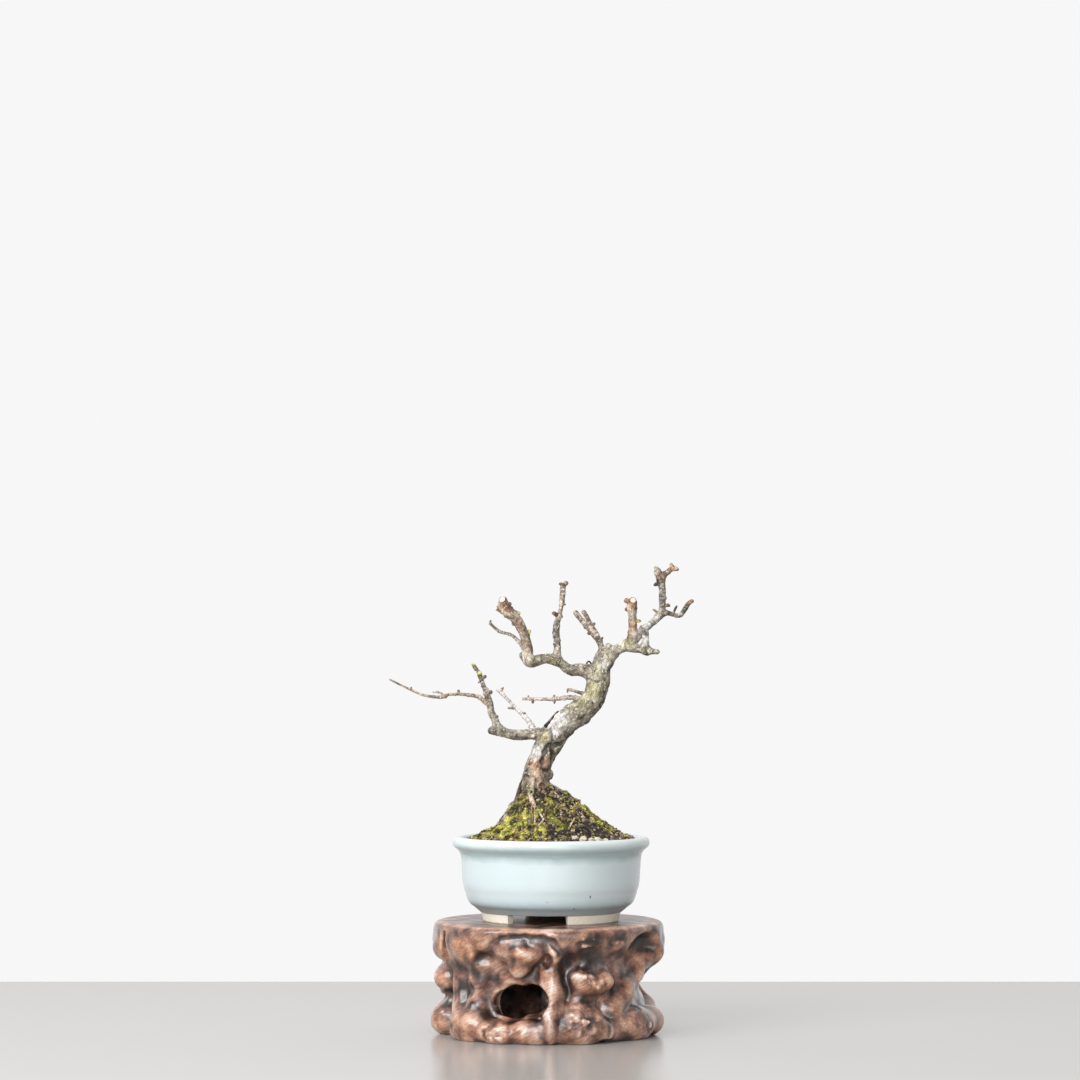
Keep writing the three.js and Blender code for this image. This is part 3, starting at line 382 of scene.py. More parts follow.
def make_piece(name, points, faces, material, slot, *nodes, values=None, smooth=True):
    """A mesh object from points in millimetres. values holds named numbers, or vectors, for each point."""
    mesh = bpy.data.meshes.new(name)
    mesh.from_pydata(metres(points).tolist(), [], np.asarray(faces).tolist())
    for key, numbers in (values or {}).items():
        numbers = np.asarray(numbers, np.float32)
        if numbers.ndim == 1:
            mesh.attributes.new(key, "FLOAT", "POINT").data.foreach_set("value", numbers)
        else:
            mesh.attributes.new(key, "FLOAT_VECTOR", "POINT").data.foreach_set("vector", numbers.ravel())
    mesh.polygons.foreach_set("use_smooth", np.full(len(mesh.polygons), smooth))
    mesh.materials.append(material)
    piece = bpy.data.objects.new(name, mesh)
    bpy.context.collection.objects.link(piece)
    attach(piece, "root")
    if nodes:
        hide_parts(*nodes)
    return piece


def blur(values, times):
    for _ in range(times):
        for axis in range(3):
            values = (np.roll(values, 1, axis) + 2 * values + np.roll(values, -1, axis)) / 4
    return values


def sample(values, low, step, points):
    """The grid's value at each point, between its eight nearest."""
    q = np.clip((points - low) / step, 0, np.array(values.shape) - 1.001)
    cell = q.astype(int)
    part = q - cell
    total = np.zeros(len(points))
    for corner in CORNERS:
        share = np.prod(np.where(corner, part, 1 - part), axis=1)
        total += share * values[tuple((cell + corner).T)]
    return total


reach = STAND_RADIUS + ROOM_ROUND
stand_low = np.array([STAND_CENTRE_X - reach, -reach, -ROOM_ABOVE])
stand_high = np.array([STAND_CENTRE_X + reach, reach, STAND_HEIGHT + ROOM_ABOVE])
axes = [np.arange(a, b, STAND_STEP) for a, b in zip(stand_low, stand_high)]
shape = [len(a) for a in axes]
grid = np.stack(np.meshgrid(*axes, indexing="ij"), axis=-1).reshape(-1, 3)
x, y, z = (grid - [STAND_CENTRE_X, 0, 0]).T
turn, radius = np.arctan2(x, -y), np.hypot(x, y)
under = np.interp(np.degrees(turn), *np.transpose(TOP_EDGE)) - TOP_FLARE * (STAND_RADIUS - radius)
under = (under - z) / math.hypot(1, TOP_FLARE)
slab = np.maximum(cut(radius - STAND_RADIUS, -under, RIM_EASE), z - STAND_HEIGHT - BEYOND)
wall = np.maximum.reduce([radius - WALL_RADIUS, z - WALL_TOP, -BEYOND - z])
field = join(slab, wall, FUSE).reshape(shape)


def fuse(a, b):
    return join(a, b, FUSE)


def carve(a, b):
    return cut(a, b, CUT_EASE)


def gouge(a, b):
    return cut(a, b, GOUGE_EASE)


def work_egg(spot, mix):
    room = max(spot[3:]) + 2 * FUSE
    middle = around(*spot[:3])
    work(field, axes, middle - room, middle + room, lambda p: egg_distance(p, spot), mix)


def on_stand(route):
    return [[*around(*place[:3]), place[3]] for place in route]


for spot in KNUCKLES:
    work_egg(spot, fuse)
for route in STAND_ROOTS:
    work_route(field, axes, on_stand(route), fuse, 2 * FUSE)
for spot in HOLLOWS:
    work_egg(spot, carve)
for route in GOUGES:
    work_route(field, axes, on_stand(route), gouge, 3)
field = carve(field, np.maximum(radius - CAVITY_RADIUS, z - CAVITY_HEIGHT).reshape(shape))
field = np.maximum(field, (radius - STAND_RADIUS - KNUCKLE_REACH).reshape(shape))
near = np.abs(field.ravel()) < RELIEF_REACH
q = grid[near]
side = np.clip((STAND_HEIGHT - 2 - q[:, 2]) / 6, 0, 1)
crisp = np.zeros(len(q))
for *spot, room in CRINKLES:
    crisp = np.maximum(crisp, np.clip(1.5 - 1.5 * np.linalg.norm(q - around(*spot), axis=1) / room, 0, 1))
fold = 1 - np.abs(noise(q / [9, 9, 14], 3))
crinkle = 1 - 2 * np.abs(noise(q / [2.6, 2.6, 3.4], 4))
relief = np.zeros(len(grid))
relief[near] = side * (0.6 * fold**2 - 0.35 + crisp * (0.25 + 1.25 * crinkle))
field += relief.reshape(shape)
# The block is sawn flat above and levelled below, with its top edge rounded.
above, below = (STAND_HEIGHT - z).reshape(shape), z.reshape(shape)
field = np.maximum(cut(field, above, RIM_EASE), -below)
stand_points, stand_faces = mesh_of(field, stand_low, STAND_STEP)
worn = sample(blur(field, EDGE_BLUR), stand_low, STAND_STEP, stand_points)
hollow = sample(blur(field, WIDE_BLUR), stand_low, STAND_STEP, stand_points)
rough_spots = [np.linalg.norm(stand_points - around(*spot), axis=1) / room for *spot, room in CRINKLES]
crisp = np.clip(1.6 - 1.4 * np.min(rough_spots, axis=0), 0, 1)
# The rim of the top is stained darker than the roots.
rise = stand_points[:, 2] - STAND_HEIGHT
worn = worn - RIM_STAIN * np.clip(rise / 5 + 1.8, 0, 1) * np.clip(-0.5 - rise, 0, 1)
# The roots are less even than their plan: each point is moved a little.
drift = np.stack([noise(stand_points / 9, n) for n in (31, 32, 33)], 1)
free = np.clip(stand_points[:, 2] / 5, 0, 1) * np.clip((STAND_HEIGHT - 3 - stand_points[:, 2]) / 8, 0, 1)
stand_points = stand_points + drift * free[:, None]

# Stained and lacquered root burl: dark in the gouged hollows, where stain pooled and where shade is painted
# in, red-brown on the flanks and worn paler on the ridges, under a glossy coat that picks up the windows. Its
# fibres are 0.5 mm apart, too fine to show here, and are drawn 1 mm apart.
lacquer, tree, shader = finish("lacquered_root_burl", Roughness=0.36, Coat_Weight=1.0, Coat_Roughness=0.2)
place = add(tree, "ShaderNodeTexCoord", out="Object")
height = add(tree, "ShaderNodeSeparateXYZ", {0: place}, out="Z")
ends = {"From Min": (STAND_HEIGHT - 2.5) * MM, "From Max": (STAND_HEIGHT - 0.3) * MM}
coat = add(tree, "ShaderNodeMapRange", {"Value": height, "To Min": 1, "To Max": 0.55, **ends})
tree.links.new(coat, shader.inputs["Coat Weight"])
satin = add(tree, "ShaderNodeMapRange", {"Value": height, "To Min": 0.36, "To Max": 0.5, **ends})
tree.links.new(satin, shader.inputs["Roughness"])
# How a node gives one colour blended with another, or multiplied by it.
BLENDED = {"out": 2, "data_type": "RGBA"}
MULTIPLIED = {**BLENDED, "blend_type": "MULTIPLY"}
aslant = {"Rotation": (0.3, 1.1, 0), "Scale": (1, 1, 9)}
fibre_place = add(tree, "ShaderNodeMapping", {"Vector": place, **aslant}, vector_type="TEXTURE")
fine = {"Scale": 1000, "Detail": 4, "Roughness": 0.6}
fibres = add(tree, "ShaderNodeTexNoise", {"Vector": fibre_place, **fine})
clouds = add(tree, "ShaderNodeTexNoise", {"Vector": place, "Scale": 96, "Detail": 3, "Roughness": 0.5})
worn_value = add(tree, "ShaderNodeAttribute", out="Fac", attribute_name="worn")
hollow_value = add(tree, "ShaderNodeAttribute", out="Fac", attribute_name="hollow")
ridge = add(tree, "ShaderNodeMapRange", {"Value": worn_value, "From Min": -0.25, "From Max": 0.55})
# The deeper a hollow, the darker its wood: pooled stain, and painted shade.
shown = add(tree, "ShaderNodeMapRange", {"Value": hollow_value, "From Min": -0.6, "From Max": 3.4})
heights = add(tree, "ShaderNodeMath", {0: shown, 1: ridge, 2: clouds}, operation="MULTIPLY_ADD")
tone = add(tree, "ShaderNodeMapRange", {"Value": heights, "From Min": 0.33, "From Max": 0.98})
WOOD_STAIN = [(0, "#120d0b"), (1, "#e1ccbd"), (0.22, "#3b2a25"), (0.42, "#815d4e"), (0.66, "#b98f77")]
stain = add(tree, "ShaderNodeValToRGB", {"Fac": tone}, stops=WOOD_STAIN)
shades = {"To Min": 0.68, "To Max": 1.34}
streak = add(tree, "ShaderNodeMapRange", {"Value": fibres, "From Min": 0.36, "From Max": 0.64, **shades})
wood = add(tree, "ShaderNodeMix", {0: 1, 6: stain, 7: streak}, **MULTIPLIED)
wander = add(tree, "ShaderNodeTexNoise", {"Vector": place, "Scale": 48, "Detail": 2})
hue = add(tree, "ShaderNodeValToRGB", {"Fac": wander}, stops=[(0.38, "#fff0e0"), (0.6, "#f1f0f3")])
wood = add(tree, "ShaderNodeMix", {0: 1, 6: wood, 7: hue}, **MULTIPLIED)
tree.links.new(wood, shader.inputs["Base Color"])
grain = add(tree, "ShaderNodeBump", {"Height": fibres, "Strength": 0.25, "Distance": 0.0004})
crisp_value = add(tree, "ShaderNodeAttribute", out="Fac", attribute_name="crisp")
crackle = add(tree, "ShaderNodeTexNoise", {"Vector": place, "Scale": 620, "Detail": 4, "Roughness": 0.65})
keen = add(tree, "ShaderNodeMapRange", {"Value": crisp_value, "To Min": 0.12, "To Max": 1.8})
coarse = add(tree, "ShaderNodeMath", {0: crackle, 1: keen}, operation="MULTIPLY")
lumps = add(tree, "ShaderNodeBump", {"Height": coarse, "Strength": 0.8, "Distance": 0.0006, "Normal": grain})
tree.links.new(lumps, shader.inputs["Normal"])
tree.links.new(lumps, shader.inputs["Coat Normal"])
surface = {"worn": worn, "hollow": hollow, "crisp": crisp}
make_piece(
    "carved_root_stand", stand_points, stand_faces, lacquer, "stand_wood", "root_wood_stand", values=surface
)

# The pot
# A round stoneware bowl thrown on the wheel with a rolled lip, glazed pale celadon inside and out and wiped
# clean on its three feet, which are what is left of a turned foot ring after three gaps were cut from it.
POT_BASE = STAND_HEIGHT
FOOT_HEIGHT = 5.1
POT_HEIGHT = 47.4
DRAIN_RADIUS = 7
POT_SECTION = [
    [DRAIN_RADIUS, FOOT_HEIGHT], [40.4, FOOT_HEIGHT], [41.6, 6.1], [43.6, 7.8], [46.9, 10.7], [48.9, 16.4],
    [50.3, 22.1], [51.2, 35], [52.3, 39], [55, 41.6], [56, 43], [56.1, 44.4], [55.6, 45.9], [54.2, 47.1],
    [52.8, POT_HEIGHT], [51.2, 47.2], [49.8, 45.8], [47.4, 40], [45.8, 24], [43, 13.6], [38, 9.8],
    [DRAIN_RADIUS, 9.8],
]
POT_SIDES = 144
FOOT_STARTS = [12.9, 132.9, -107.7]
FOOT_TURN = 70
FOOT_SLANT = 1.3
FOOT_BEVEL = 0.35
FOOT_STEPS = 28
FOOT_INNER = 34.4
FOOT_TREAD = 38.6
FOOT_OUTER = 40
SPECK_RADIUS = 47.5


def smooth_route(route, spacing):
    """A curve through the points of a route, at about that spacing. Any further columns follow it."""
    p = np.asarray(route, float)
    p = np.vstack([2 * p[0] - p[1], p, 2 * p[-1] - p[-2]])
    fine = []
    for before, start, end, after in zip(p, p[1:], p[2:], p[3:]):
        count = max(2, math.ceil(np.linalg.norm(end[:3] - start[:3]) / spacing))
        for t in np.arange(count) / count:
            bend = 2 * start + (end - before) * t + (2 * before - 5 * start + 4 * end - after) * t**2
            fine.append(0.5 * (bend + (3 * start - before - 3 * end + after) * t**3))
    return np.array(fine + [p[-2]])


def lathe(section, sides, base):
    """Squares round the Z axis through a closed section of radius and height."""
    turns = 2 * np.pi * np.arange(sides) / sides
    r, z = np.asarray(section).T
    x, y = np.outer(r, np.cos(turns)), np.outer(r, np.sin(turns))
    ring = np.stack([x, y, np.outer(z + base, turns * 0 + 1)], -1)
    n = len(section)
    i, j = np.meshgrid(np.arange(n), np.arange(sides), indexing="ij")
    i2, j2 = (i + 1) % n, (j + 1) % sides
    faces = np.stack([i * sides + j, i * sides + j2, i2 * sides + j2, i2 * sides + j], -1)
    return ring.reshape(-1, 3), faces.reshape(-1, 4)


outer = smooth_route([[r, 0, z] for r, z in POT_SECTION[1:-1]], 0.8)[:, [0, 2]]
pot_points, pot_faces = lathe([POT_SECTION[0], *outer, POT_SECTION[-1]], POT_SIDES, POT_BASE)

# Fired celadon glaze: pale blue-green glass over white clay, paler where it thins on the lip and darker and
# greener just under it, where it gathers and where shade is painted in, with a soft skin of ripples about 8 mm
# across and three specks where it broke.
glaze, tree, shader = finish("celadon_glaze", Roughness=0.27, IOR=1.5)
place = add(tree, "ShaderNodeTexCoord", out="Object")
height = add(tree, "ShaderNodeSeparateXYZ", {0: place}, out="Z")
ends = {"From Min": (POT_BASE + FOOT_HEIGHT) * MM, "From Max": (POT_BASE + POT_HEIGHT) * MM, "To Max": 0.94}
share = add(tree, "ShaderNodeMapRange", {"Value": height, "To Min": -0.06, **ends})
mottle = add(tree, "ShaderNodeTexNoise", {"Vector": place, "Scale": 70, "Detail": 3})
wander = add(tree, "ShaderNodeMath", {0: mottle, 1: 0.12, 2: share}, operation="MULTIPLY_ADD")
# The darker stop at 0.78 is the band under the lip: pooled glaze, with painted shade.
GLAZE = [
    (0, "#bdc9cb"), (1, "#ced5d4"), (0.08, "#aabdc1"), (0.24, "#c6d2d4"), (0.68, "#c8d3d5"),
    (0.78, "#a0b2b4"), (0.89, "#b8c6c8"), (0.95, "#c9d2d2"),
]
tint = add(tree, "ShaderNodeValToRGB", {"Fac": wander}, stops=GLAZE)
fleck = add(tree, "ShaderNodeTexVoronoi", {"Vector": place, "Scale": 260})
speck = add(tree, "ShaderNodeMapRange", {"Value": fleck, "From Min": 0.03, "From Max": 0.05, "To Min": 0.8})
colour = add(tree, "ShaderNodeMix", {0: 1, 6: tint, 7: speck}, **MULTIPLIED)
# Broken specks on the front: x, height above the table and radius.
for x_mm, z_mm, size in ((21.6, 79.9, 0.8), (12.6, 73.3, 0.6), (-2.4, 77.2, 0.4)):
    middle = metres([x_mm, -math.sqrt(SPECK_RADIUS**2 - x_mm**2), z_mm])[0]
    off = add(tree, "ShaderNodeVectorMath", {0: place, 1: middle.tolist()}, operation="SUBTRACT")
    flat = add(tree, "ShaderNodeVectorMath", {0: off, 1: (1.5, 0.12, 0.75)}, operation="MULTIPLY")
    far = add(tree, "ShaderNodeVectorMath", {0: flat}, out="Value", operation="LENGTH")
    ends = {"From Min": 0.6 * size * MM, "From Max": size * MM, "To Min": 0.25}
    clear = add(tree, "ShaderNodeMapRange", {"Value": far, **ends})
    colour = add(tree, "ShaderNodeMix", {0: 1, 6: colour, 7: clear}, **MULTIPLIED)
tree.links.new(colour, shader.inputs["Base Color"])
ripple = add(tree, "ShaderNodeTexNoise", {"Vector": place, "Scale": 120, "Detail": 2})
skin = add(tree, "ShaderNodeBump", {"Height": ripple, "Strength": 0.12, "Distance": 0.0008})
tree.links.new(skin, shader.inputs["Normal"])
make_piece("celadon_bowl", pot_points, pot_faces, glaze, "celadon_glaze", "celadon_pot")

# Bare stoneware: the cream, slightly sandy clay of the feet, with grit of about 0.5 mm.
clay, tree, shader = finish("bare_stoneware", Roughness=0.75)
place = add(tree, "ShaderNodeTexCoord", out="Object")
grit = add(tree, "ShaderNodeTexNoise", {"Vector": place, "Scale": 1800, "Detail": 2})
CLAY = [(0.3, "#e6dac6"), (0.7, "#fdf6ea"), (0.5, "#f5ecdc")]
tint = add(tree, "ShaderNodeValToRGB", {"Fac": grit}, stops=CLAY)
tree.links.new(tint, shader.inputs["Base Color"])
sand = add(tree, "ShaderNodeBump", {"Height": grit, "Strength": 0.3, "Distance": 0.0002})
tree.links.new(sand, shader.inputs["Normal"])


def tube(rings, first, last):
    """Points and triangles of a closed surface through a stack of rings of equal count."""
    rings = np.asarray(rings, float)
    stack, count = rings.shape[:2]
    points = np.vstack([[first], rings.reshape(-1, 3), [last]])
    i = np.arange(count)
    j = (i + 1) % count
    end = len(points) - 1
    top = 1 + (stack - 1) * count
    faces = [np.stack([i * 0, 1 + j, 1 + i], 1), np.stack([i * 0 + end, top + i, top + j], 1)]
    for ring in range(stack - 1):
        a, b = 1 + ring * count, 1 + (ring + 1) * count
        faces.append(np.stack([a + i, a + j, b + j], 1))
        faces.append(np.stack([a + i, b + j, b + i], 1))
    return points, np.concatenate(faces)


def merge(parts):
    """One list of points, of faces and of each value from several."""
    starts = np.cumsum([0] + [len(part[0]) for part in parts])
    faces = np.concatenate([part[1] + start for part, start in zip(parts, starts)])
    values = {key: np.concatenate([part[2][key] for part in parts]) for key in parts[0][2]}
    return np.concatenate([part[0] for part in parts]), faces, values


feet = []
for start in FOOT_STARTS:
    rings = []
    for share in np.linspace(0, 1, FOOT_STEPS):
        slant = FOOT_SLANT * (1 - 2 * share)
        corners = [
            [FOOT_INNER, 0, FOOT_HEIGHT + 0.6],
            [FOOT_OUTER, 0, FOOT_HEIGHT + 0.6],
            [FOOT_TREAD, slant, FOOT_BEVEL],
            [FOOT_TREAD - FOOT_BEVEL, slant, 0],
            [FOOT_INNER + FOOT_BEVEL, slant, 0],
            [FOOT_INNER, slant, FOOT_BEVEL],
        ]
        ring = []
        for r, lean, h in corners:
            a = math.radians(start + lean + FOOT_TURN * share)
            ring.append([r * math.sin(a), -r * math.cos(a), POT_BASE + h])
        rings.append(ring)
    feet.append((*tube(rings, np.mean(rings[0], 0), np.mean(rings[-1], 0)), {}))
foot_points, foot_faces, _ = merge(feet)
make_piece("pot_feet", foot_points, foot_faces, clay, "celadon_glaze", "celadon_pot", smooth=False)

# The drain net and its clip
# A square of moulded black plastic net lies over the drain hole, held by a steel wire that was pushed through
# it and bent under the pot.
net_plastic, tree, shader = finish("moulded_net_plastic", Roughness=0.55)
place = add(tree, "ShaderNodeTexCoord", out="Object")
pitting = add(tree, "ShaderNodeTexNoise", {"Vector": place, "Scale": 1500, "Detail": 2})
dull = add(tree, "ShaderNodeValToRGB", {"Fac": pitting}, stops=[(0.3, "#1d1f1e"), (0.7, "#2e312f")])
tree.links.new(dull, shader.inputs["Base Color"])
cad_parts["drainage_mesh"].material_slots[0].material = net_plastic
steel, tree, shader = finish("drawn_steel_wire", Metallic=1, Roughness=0.38)
place = add(tree, "ShaderNodeTexCoord", out="Object")
tarnish = add(tree, "ShaderNodeTexNoise", {"Vector": place, "Scale": 500, "Detail": 3})
tint = add(tree, "ShaderNodeValToRGB", {"Fac": tarnish}, stops=[(0.35, "#6f7375"), (0.65, "#a5aaad")])
tree.links.new(tint, shader.inputs["Base Color"])
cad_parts["mesh_clip_wire"].material_slots[0].material = steel

# The tree
# One old quince: surface roots gripping the mound, a leaning trunk swollen where branches were cut, and two
# arms that bend and fork into winter twigs and buds. Its bark is thin, grey-brown and flaking.
LIMBS = {
    "trunk": [
        [-8.5, 1, 118, 9], [-8.5, 0.5, 126, 10.5], [-9, 0, 134, 9.6], [-9.5, 0, 141.5, 8],
        [-8, 0, 148.5, 7.4], [-6, 0, 154.5, 6.9], [-3.5, 0, 160, 7.1], [0.5, -1, 166.5, 7.6],
        [5, -2, 172.5, 7.4], [9, -3, 176.5, 7.4], [16.5, -4, 182, 7.4], [22.5, -3, 187.5, 6.8],
        [26, -1, 194.5, 6.2], [27.5, 1, 200, 6.1], [28.5, 2, 206, 6], [30, 3, 211, 5.5], [30, 3, 213.5, 4.2],
    ],
    "lowerArm": [
        [-1, 0, 166.5, 4.3], [-5.5, -2, 168.5, 3.7], [-9.5, -4, 169.5, 3.1], [-17.5, -8, 169, 3],
        [-25, -11, 170, 2.8], [-30, -12.5, 173, 2.8], [-31.5, -12, 177, 2.3], [-34, -11, 182, 2.1],
        [-34.5, -10, 186, 1.9], [-36.5, -8.5, 192.5, 1.6], [-39, -7, 198.5, 1.3], [-41, -5, 204, 1.3],
        [-42, -4.5, 205.5, 1],
    ],
    "lowerKnob": [[-29, -12, 171, 2.6], [-34, -13.5, 171.5, 2]],
    "longTwig": [
        [-35, -10, 185.5, 1.4], [-39.5, -11, 189.5, 1.3], [-42.5, -12, 191, 1.2], [-50, -14, 192, 0.9],
        [-57.5, -16, 192, 0.8], [-60, -17, 191, 1.2], [-63, -17.5, 190.5, 1], [-71.5, -18.5, 191.5, 0.75],
        [-80, -20, 195, 0.6], [-91, -23, 200.5, 0.5],
    ],
    "longTwigSpur": [[-59.5, -17, 191, 0.8], [-63, -15.5, 193, 0.6], [-67, -14, 193.5, 0.5]],
    "paleTwig": [
        [-9, -4, 170.5, 2], [-13.5, 0, 177.5, 1.4], [-19, 5, 183, 1.1], [-24.5, 10, 188.5, 0.9],
        [-28.5, 13.5, 192.5, 1.1], [-31, 15, 194.5, 0.8],
    ],
    "paleTwigSpur": [[-20.5, 6, 184, 0.9], [-24.5, 9, 184, 0.6]],
    "flatTwig": [
        [19, 2, 187.5, 2], [15, 8, 189.5, 1.5], [11, 11, 190, 1.4], [1, 17, 189, 1.1], [-8, 21, 189, 0.9],
        [-16.5, 25, 189, 0.9],
    ],
    "shortTwig": [[23.5, 4, 192, 1.4], [19.5, 9, 192, 1.1], [12.5, 13, 194, 0.9], [9.5, 15, 194.5, 0.8]],
    "upperArm": [
        [27.5, 2, 201, 5.4], [22.5, 2, 204, 4.6], [17, 1, 206, 4], [12, -1, 205.5, 3.2], [8, -3, 207.5, 2.9],
        [4.5, -5, 210.5, 2.8], [-3, -8, 212.5, 2.8], [-7, -9, 211.5, 3.1], [-11.5, -11, 210.5, 3.5],
        [-13, -12.5, 213, 3.1], [-13.5, -13.5, 219, 2.9], [-15, -15, 225, 2.8], [-19, -18, 233.5, 3],
        [-23.5, -20.5, 238, 3.2], [-26.6, -22.5, 242, 3], [-27.3, -24, 245, 2.4],
    ],
    "elbowKnob": [[-12.5, -12, 211.5, 3], [-16.5, -11, 214, 2]],
    "sideCut": [[-24, -21, 238, 1.8], [-30.5, -22, 240.5, 1.3]],
    "leftTwig": [
        [-14, -14, 216, 1.5], [-17.5, -15, 221, 1.2], [-22.5, -18, 225.5, 0.9], [-29, -22, 227.5, 0.9],
        [-34.5, -26, 232, 0.8],
    ],
    "uprightShoot": [
        [3.5, -6, 211, 2.4], [3.5, -6, 218.5, 2.1], [3, -4, 228.5, 2], [3.5, -3, 233, 1.8],
        [5.5, -1, 240.5, 1.3], [6.5, 1, 247.5, 1.7], [7, 3, 254, 1.6],
    ],
    "pinkShoot": [
        [30, 3, 212, 2.4], [29, 5, 218.5, 1.8], [26, 9, 225, 1.9], [20.5, 14, 231, 1.5],
        [14.3, 20, 238.7, 1.6],
    ],
    "pinkProng": [[25.5, 9.5, 226, 1.7], [23.5, 11, 230.5, 1.5], [21.3, 12, 235, 1.4], [19, 13, 239, 1.5]],
    "topKnob": [[30, 3, 213, 2.6], [32.5, 2, 219.5, 1.9]],
    "rightArm": [
        [30, 3, 210.5, 4.6], [35.5, 2, 215.5, 3.7], [39.5, 1, 218, 3.1], [43.5, -1, 220, 3.1],
        [49, 2, 224, 2.5], [51.5, 4, 227.5, 2.6], [57.5, 8, 232.5, 2], [61.5, 11, 236, 2.1],
        [64, 12.5, 241, 2], [64, 13, 247, 2], [64, 13.5, 252, 2], [63.5, 14, 256, 2.3],
        [62, 14.5, 261.5, 2.1], [61, 15, 264, 1.3],
    ],
    "rightProng": [[63.5, 14, 258, 1.9], [66, 13, 261, 1.6], [70, 11, 264, 1.6], [72.5, 10, 263.5, 1.1]],
    "rightHook": [
        [62.5, 11.5, 237, 1.9], [66.5, 10.5, 238.5, 1.5], [71.5, 7.5, 237, 1.3], [74.5, 6, 237.5, 1.4],
        [78.5, 3, 243.5, 1.4], [80.5, 2, 245, 1.2],
    ],
    "redStub": [
        [45.5, -2, 219.5, 2.9], [46.5, -3, 225, 2.7], [46.5, -5, 234.5, 2.4], [46, -7, 242, 2.9],
        [46.2, -8, 245, 2.2],
    ],
    "lowRightArm": [[44, -1.5, 220, 2.9], [49, -4, 218, 2.6], [56.5, -8, 216.5, 1.9], [60, -10, 216, 1.6]],
    "paleSpur": [[54, -7, 216.5, 2.2], [53.5, -6, 221, 2.3], [54, -4, 227, 1.8]],
    "frontRoot": [
        [-9.5, -2, 139, 3.6], [-10.5, -9, 133, 3], [-10, -16, 126, 2.4], [-11, -23, 119, 2],
        [-13, -29, 109, 1.3],
    ],
    "leftRoot": [
        [-12, 0, 140, 3.4], [-17, -2, 136.5, 2.5], [-19.5, -4, 131, 1.9], [-25, -8, 124, 1.4],
        [-30, -12, 114, 1],
    ],
    "rightRoot": [
        [-5.5, 1, 140.5, 4], [-0.5, 2, 138, 3.1], [5, 3, 135, 2.7], [12, 4, 130, 2.1], [20, 6, 119, 1.2],
    ],
    "backRoot": [[-8.5, 3, 139.5, 3.7], [-9.5, 11, 134, 2.8], [-12, 19, 127.5, 2], [-15, 27, 116, 1.3]],
    "backRightRoot": [[-6.5, 4, 138, 3.1], [-1.5, 11, 133, 2.4], [3, 17, 127, 1.8], [7, 24, 115, 1.2]],
    "deepRootLeft": [[-12, 1, 124, 7], [-18, 2, 108, 5], [-24, 4, 90, 2.5]],
    "deepRootRight": [[-4, 0, 124, 7], [4, -4, 108, 5], [12, -8, 88, 2.5]],
    "deepRootBack": [[-8, 4, 124, 7], [-6, 14, 106, 4.5], [-4, 24, 86, 2.2]],
}
# The thin twigs, and how pale, olive and rusty the bark of each is.
TWIGS = {
    "longTwig": [0.2, 0, 0.7],
    "longTwigSpur": [0.4, 0, 0.2],
    "paleTwig": [1, 0, 0],
    "paleTwigSpur": [0.5, 0, 0],
    "flatTwig": [0.5, 0, 0.7],
    "shortTwig": [0.2, 0, 0.4],
    "leftTwig": [0.5, 0, 0.5],
}

# Buds and short spurs, each by its middle [x, y, z, radius]. It grows from the nearest wood.
BUDS = [
    [42.2, -8, 244.8, 1.6], [42.5, -6, 240, 1.3], [51, -7, 233.5, 1.1], [59.5, 13, 254.5, 1.3],
    [58.5, 11, 240.5, 0.9], [69, 11.5, 266.4, 1.2], [60, 15, 264.5, 0.9], [68, 12, 242.5, 1.3],
    [72.5, 10, 243, 0.8], [29.6, 5.5, 224.3, 0.9], [25, 11, 232, 1.1], [21.5, 10, 226.5, 1.2],
    [-18, -19, 238, 1.4], [-12, -16, 227.5, 1.5], [-23, -22, 243, 1.4], [-34, -26, 233.5, 0.7],
    [5, 2, 254.8, 1.1], [9.2, 4, 255.4, 1.4], [1, -4, 238, 1.4], [8, -1, 243, 0.9], [-45, -3, 209, 1.3],
    [-40.4, -7, 203.4, 1.5], [-34, -7, 193, 1.4], [-52.5, -15, 194.2, 0.9], [-79, -19, 196, 0.6],
    [-27.5, 13, 195.6, 0.9], [-15, 1, 181, 0.8], [2, 17, 191, 0.9], [2, 16, 186.7, 0.9],
    [-10.5, 21, 186.7, 0.9], [-13, 24, 190.8, 0.7], [9.5, 15, 193, 0.7], [-37.2, -6.5, 202, 1.2],
    [-41.4, -5, 198.4, 0.7],
]
GREEN_BUDS = [2, 12, 13, 20, 21]

# Callus knobs and burrs on the trunk: [x, y, z, radius].
BURRS = [
    [7.5, -9, 181, 2.6], [2.5, -7.5, 168, 2.4], [-1.5, 4, 146, 3.4], [19.5, -8.5, 186, 2.2],
    [-12.5, -6, 147, 3],
]
# Where branches were sawn off and the pale wood shows: middle, the way it faces, radius.
SAW_CUTS = [
    [[-27.5, -25.4, 245.6], [-0.35, -0.8, 0.5], 2.1],
    [[-31.4, -22.4, 240.6], [-0.85, -0.45, 0.3], 1.3],
    [[46.7, -9.4, 245.4], [0.15, -0.85, 0.5], 1.9],
]
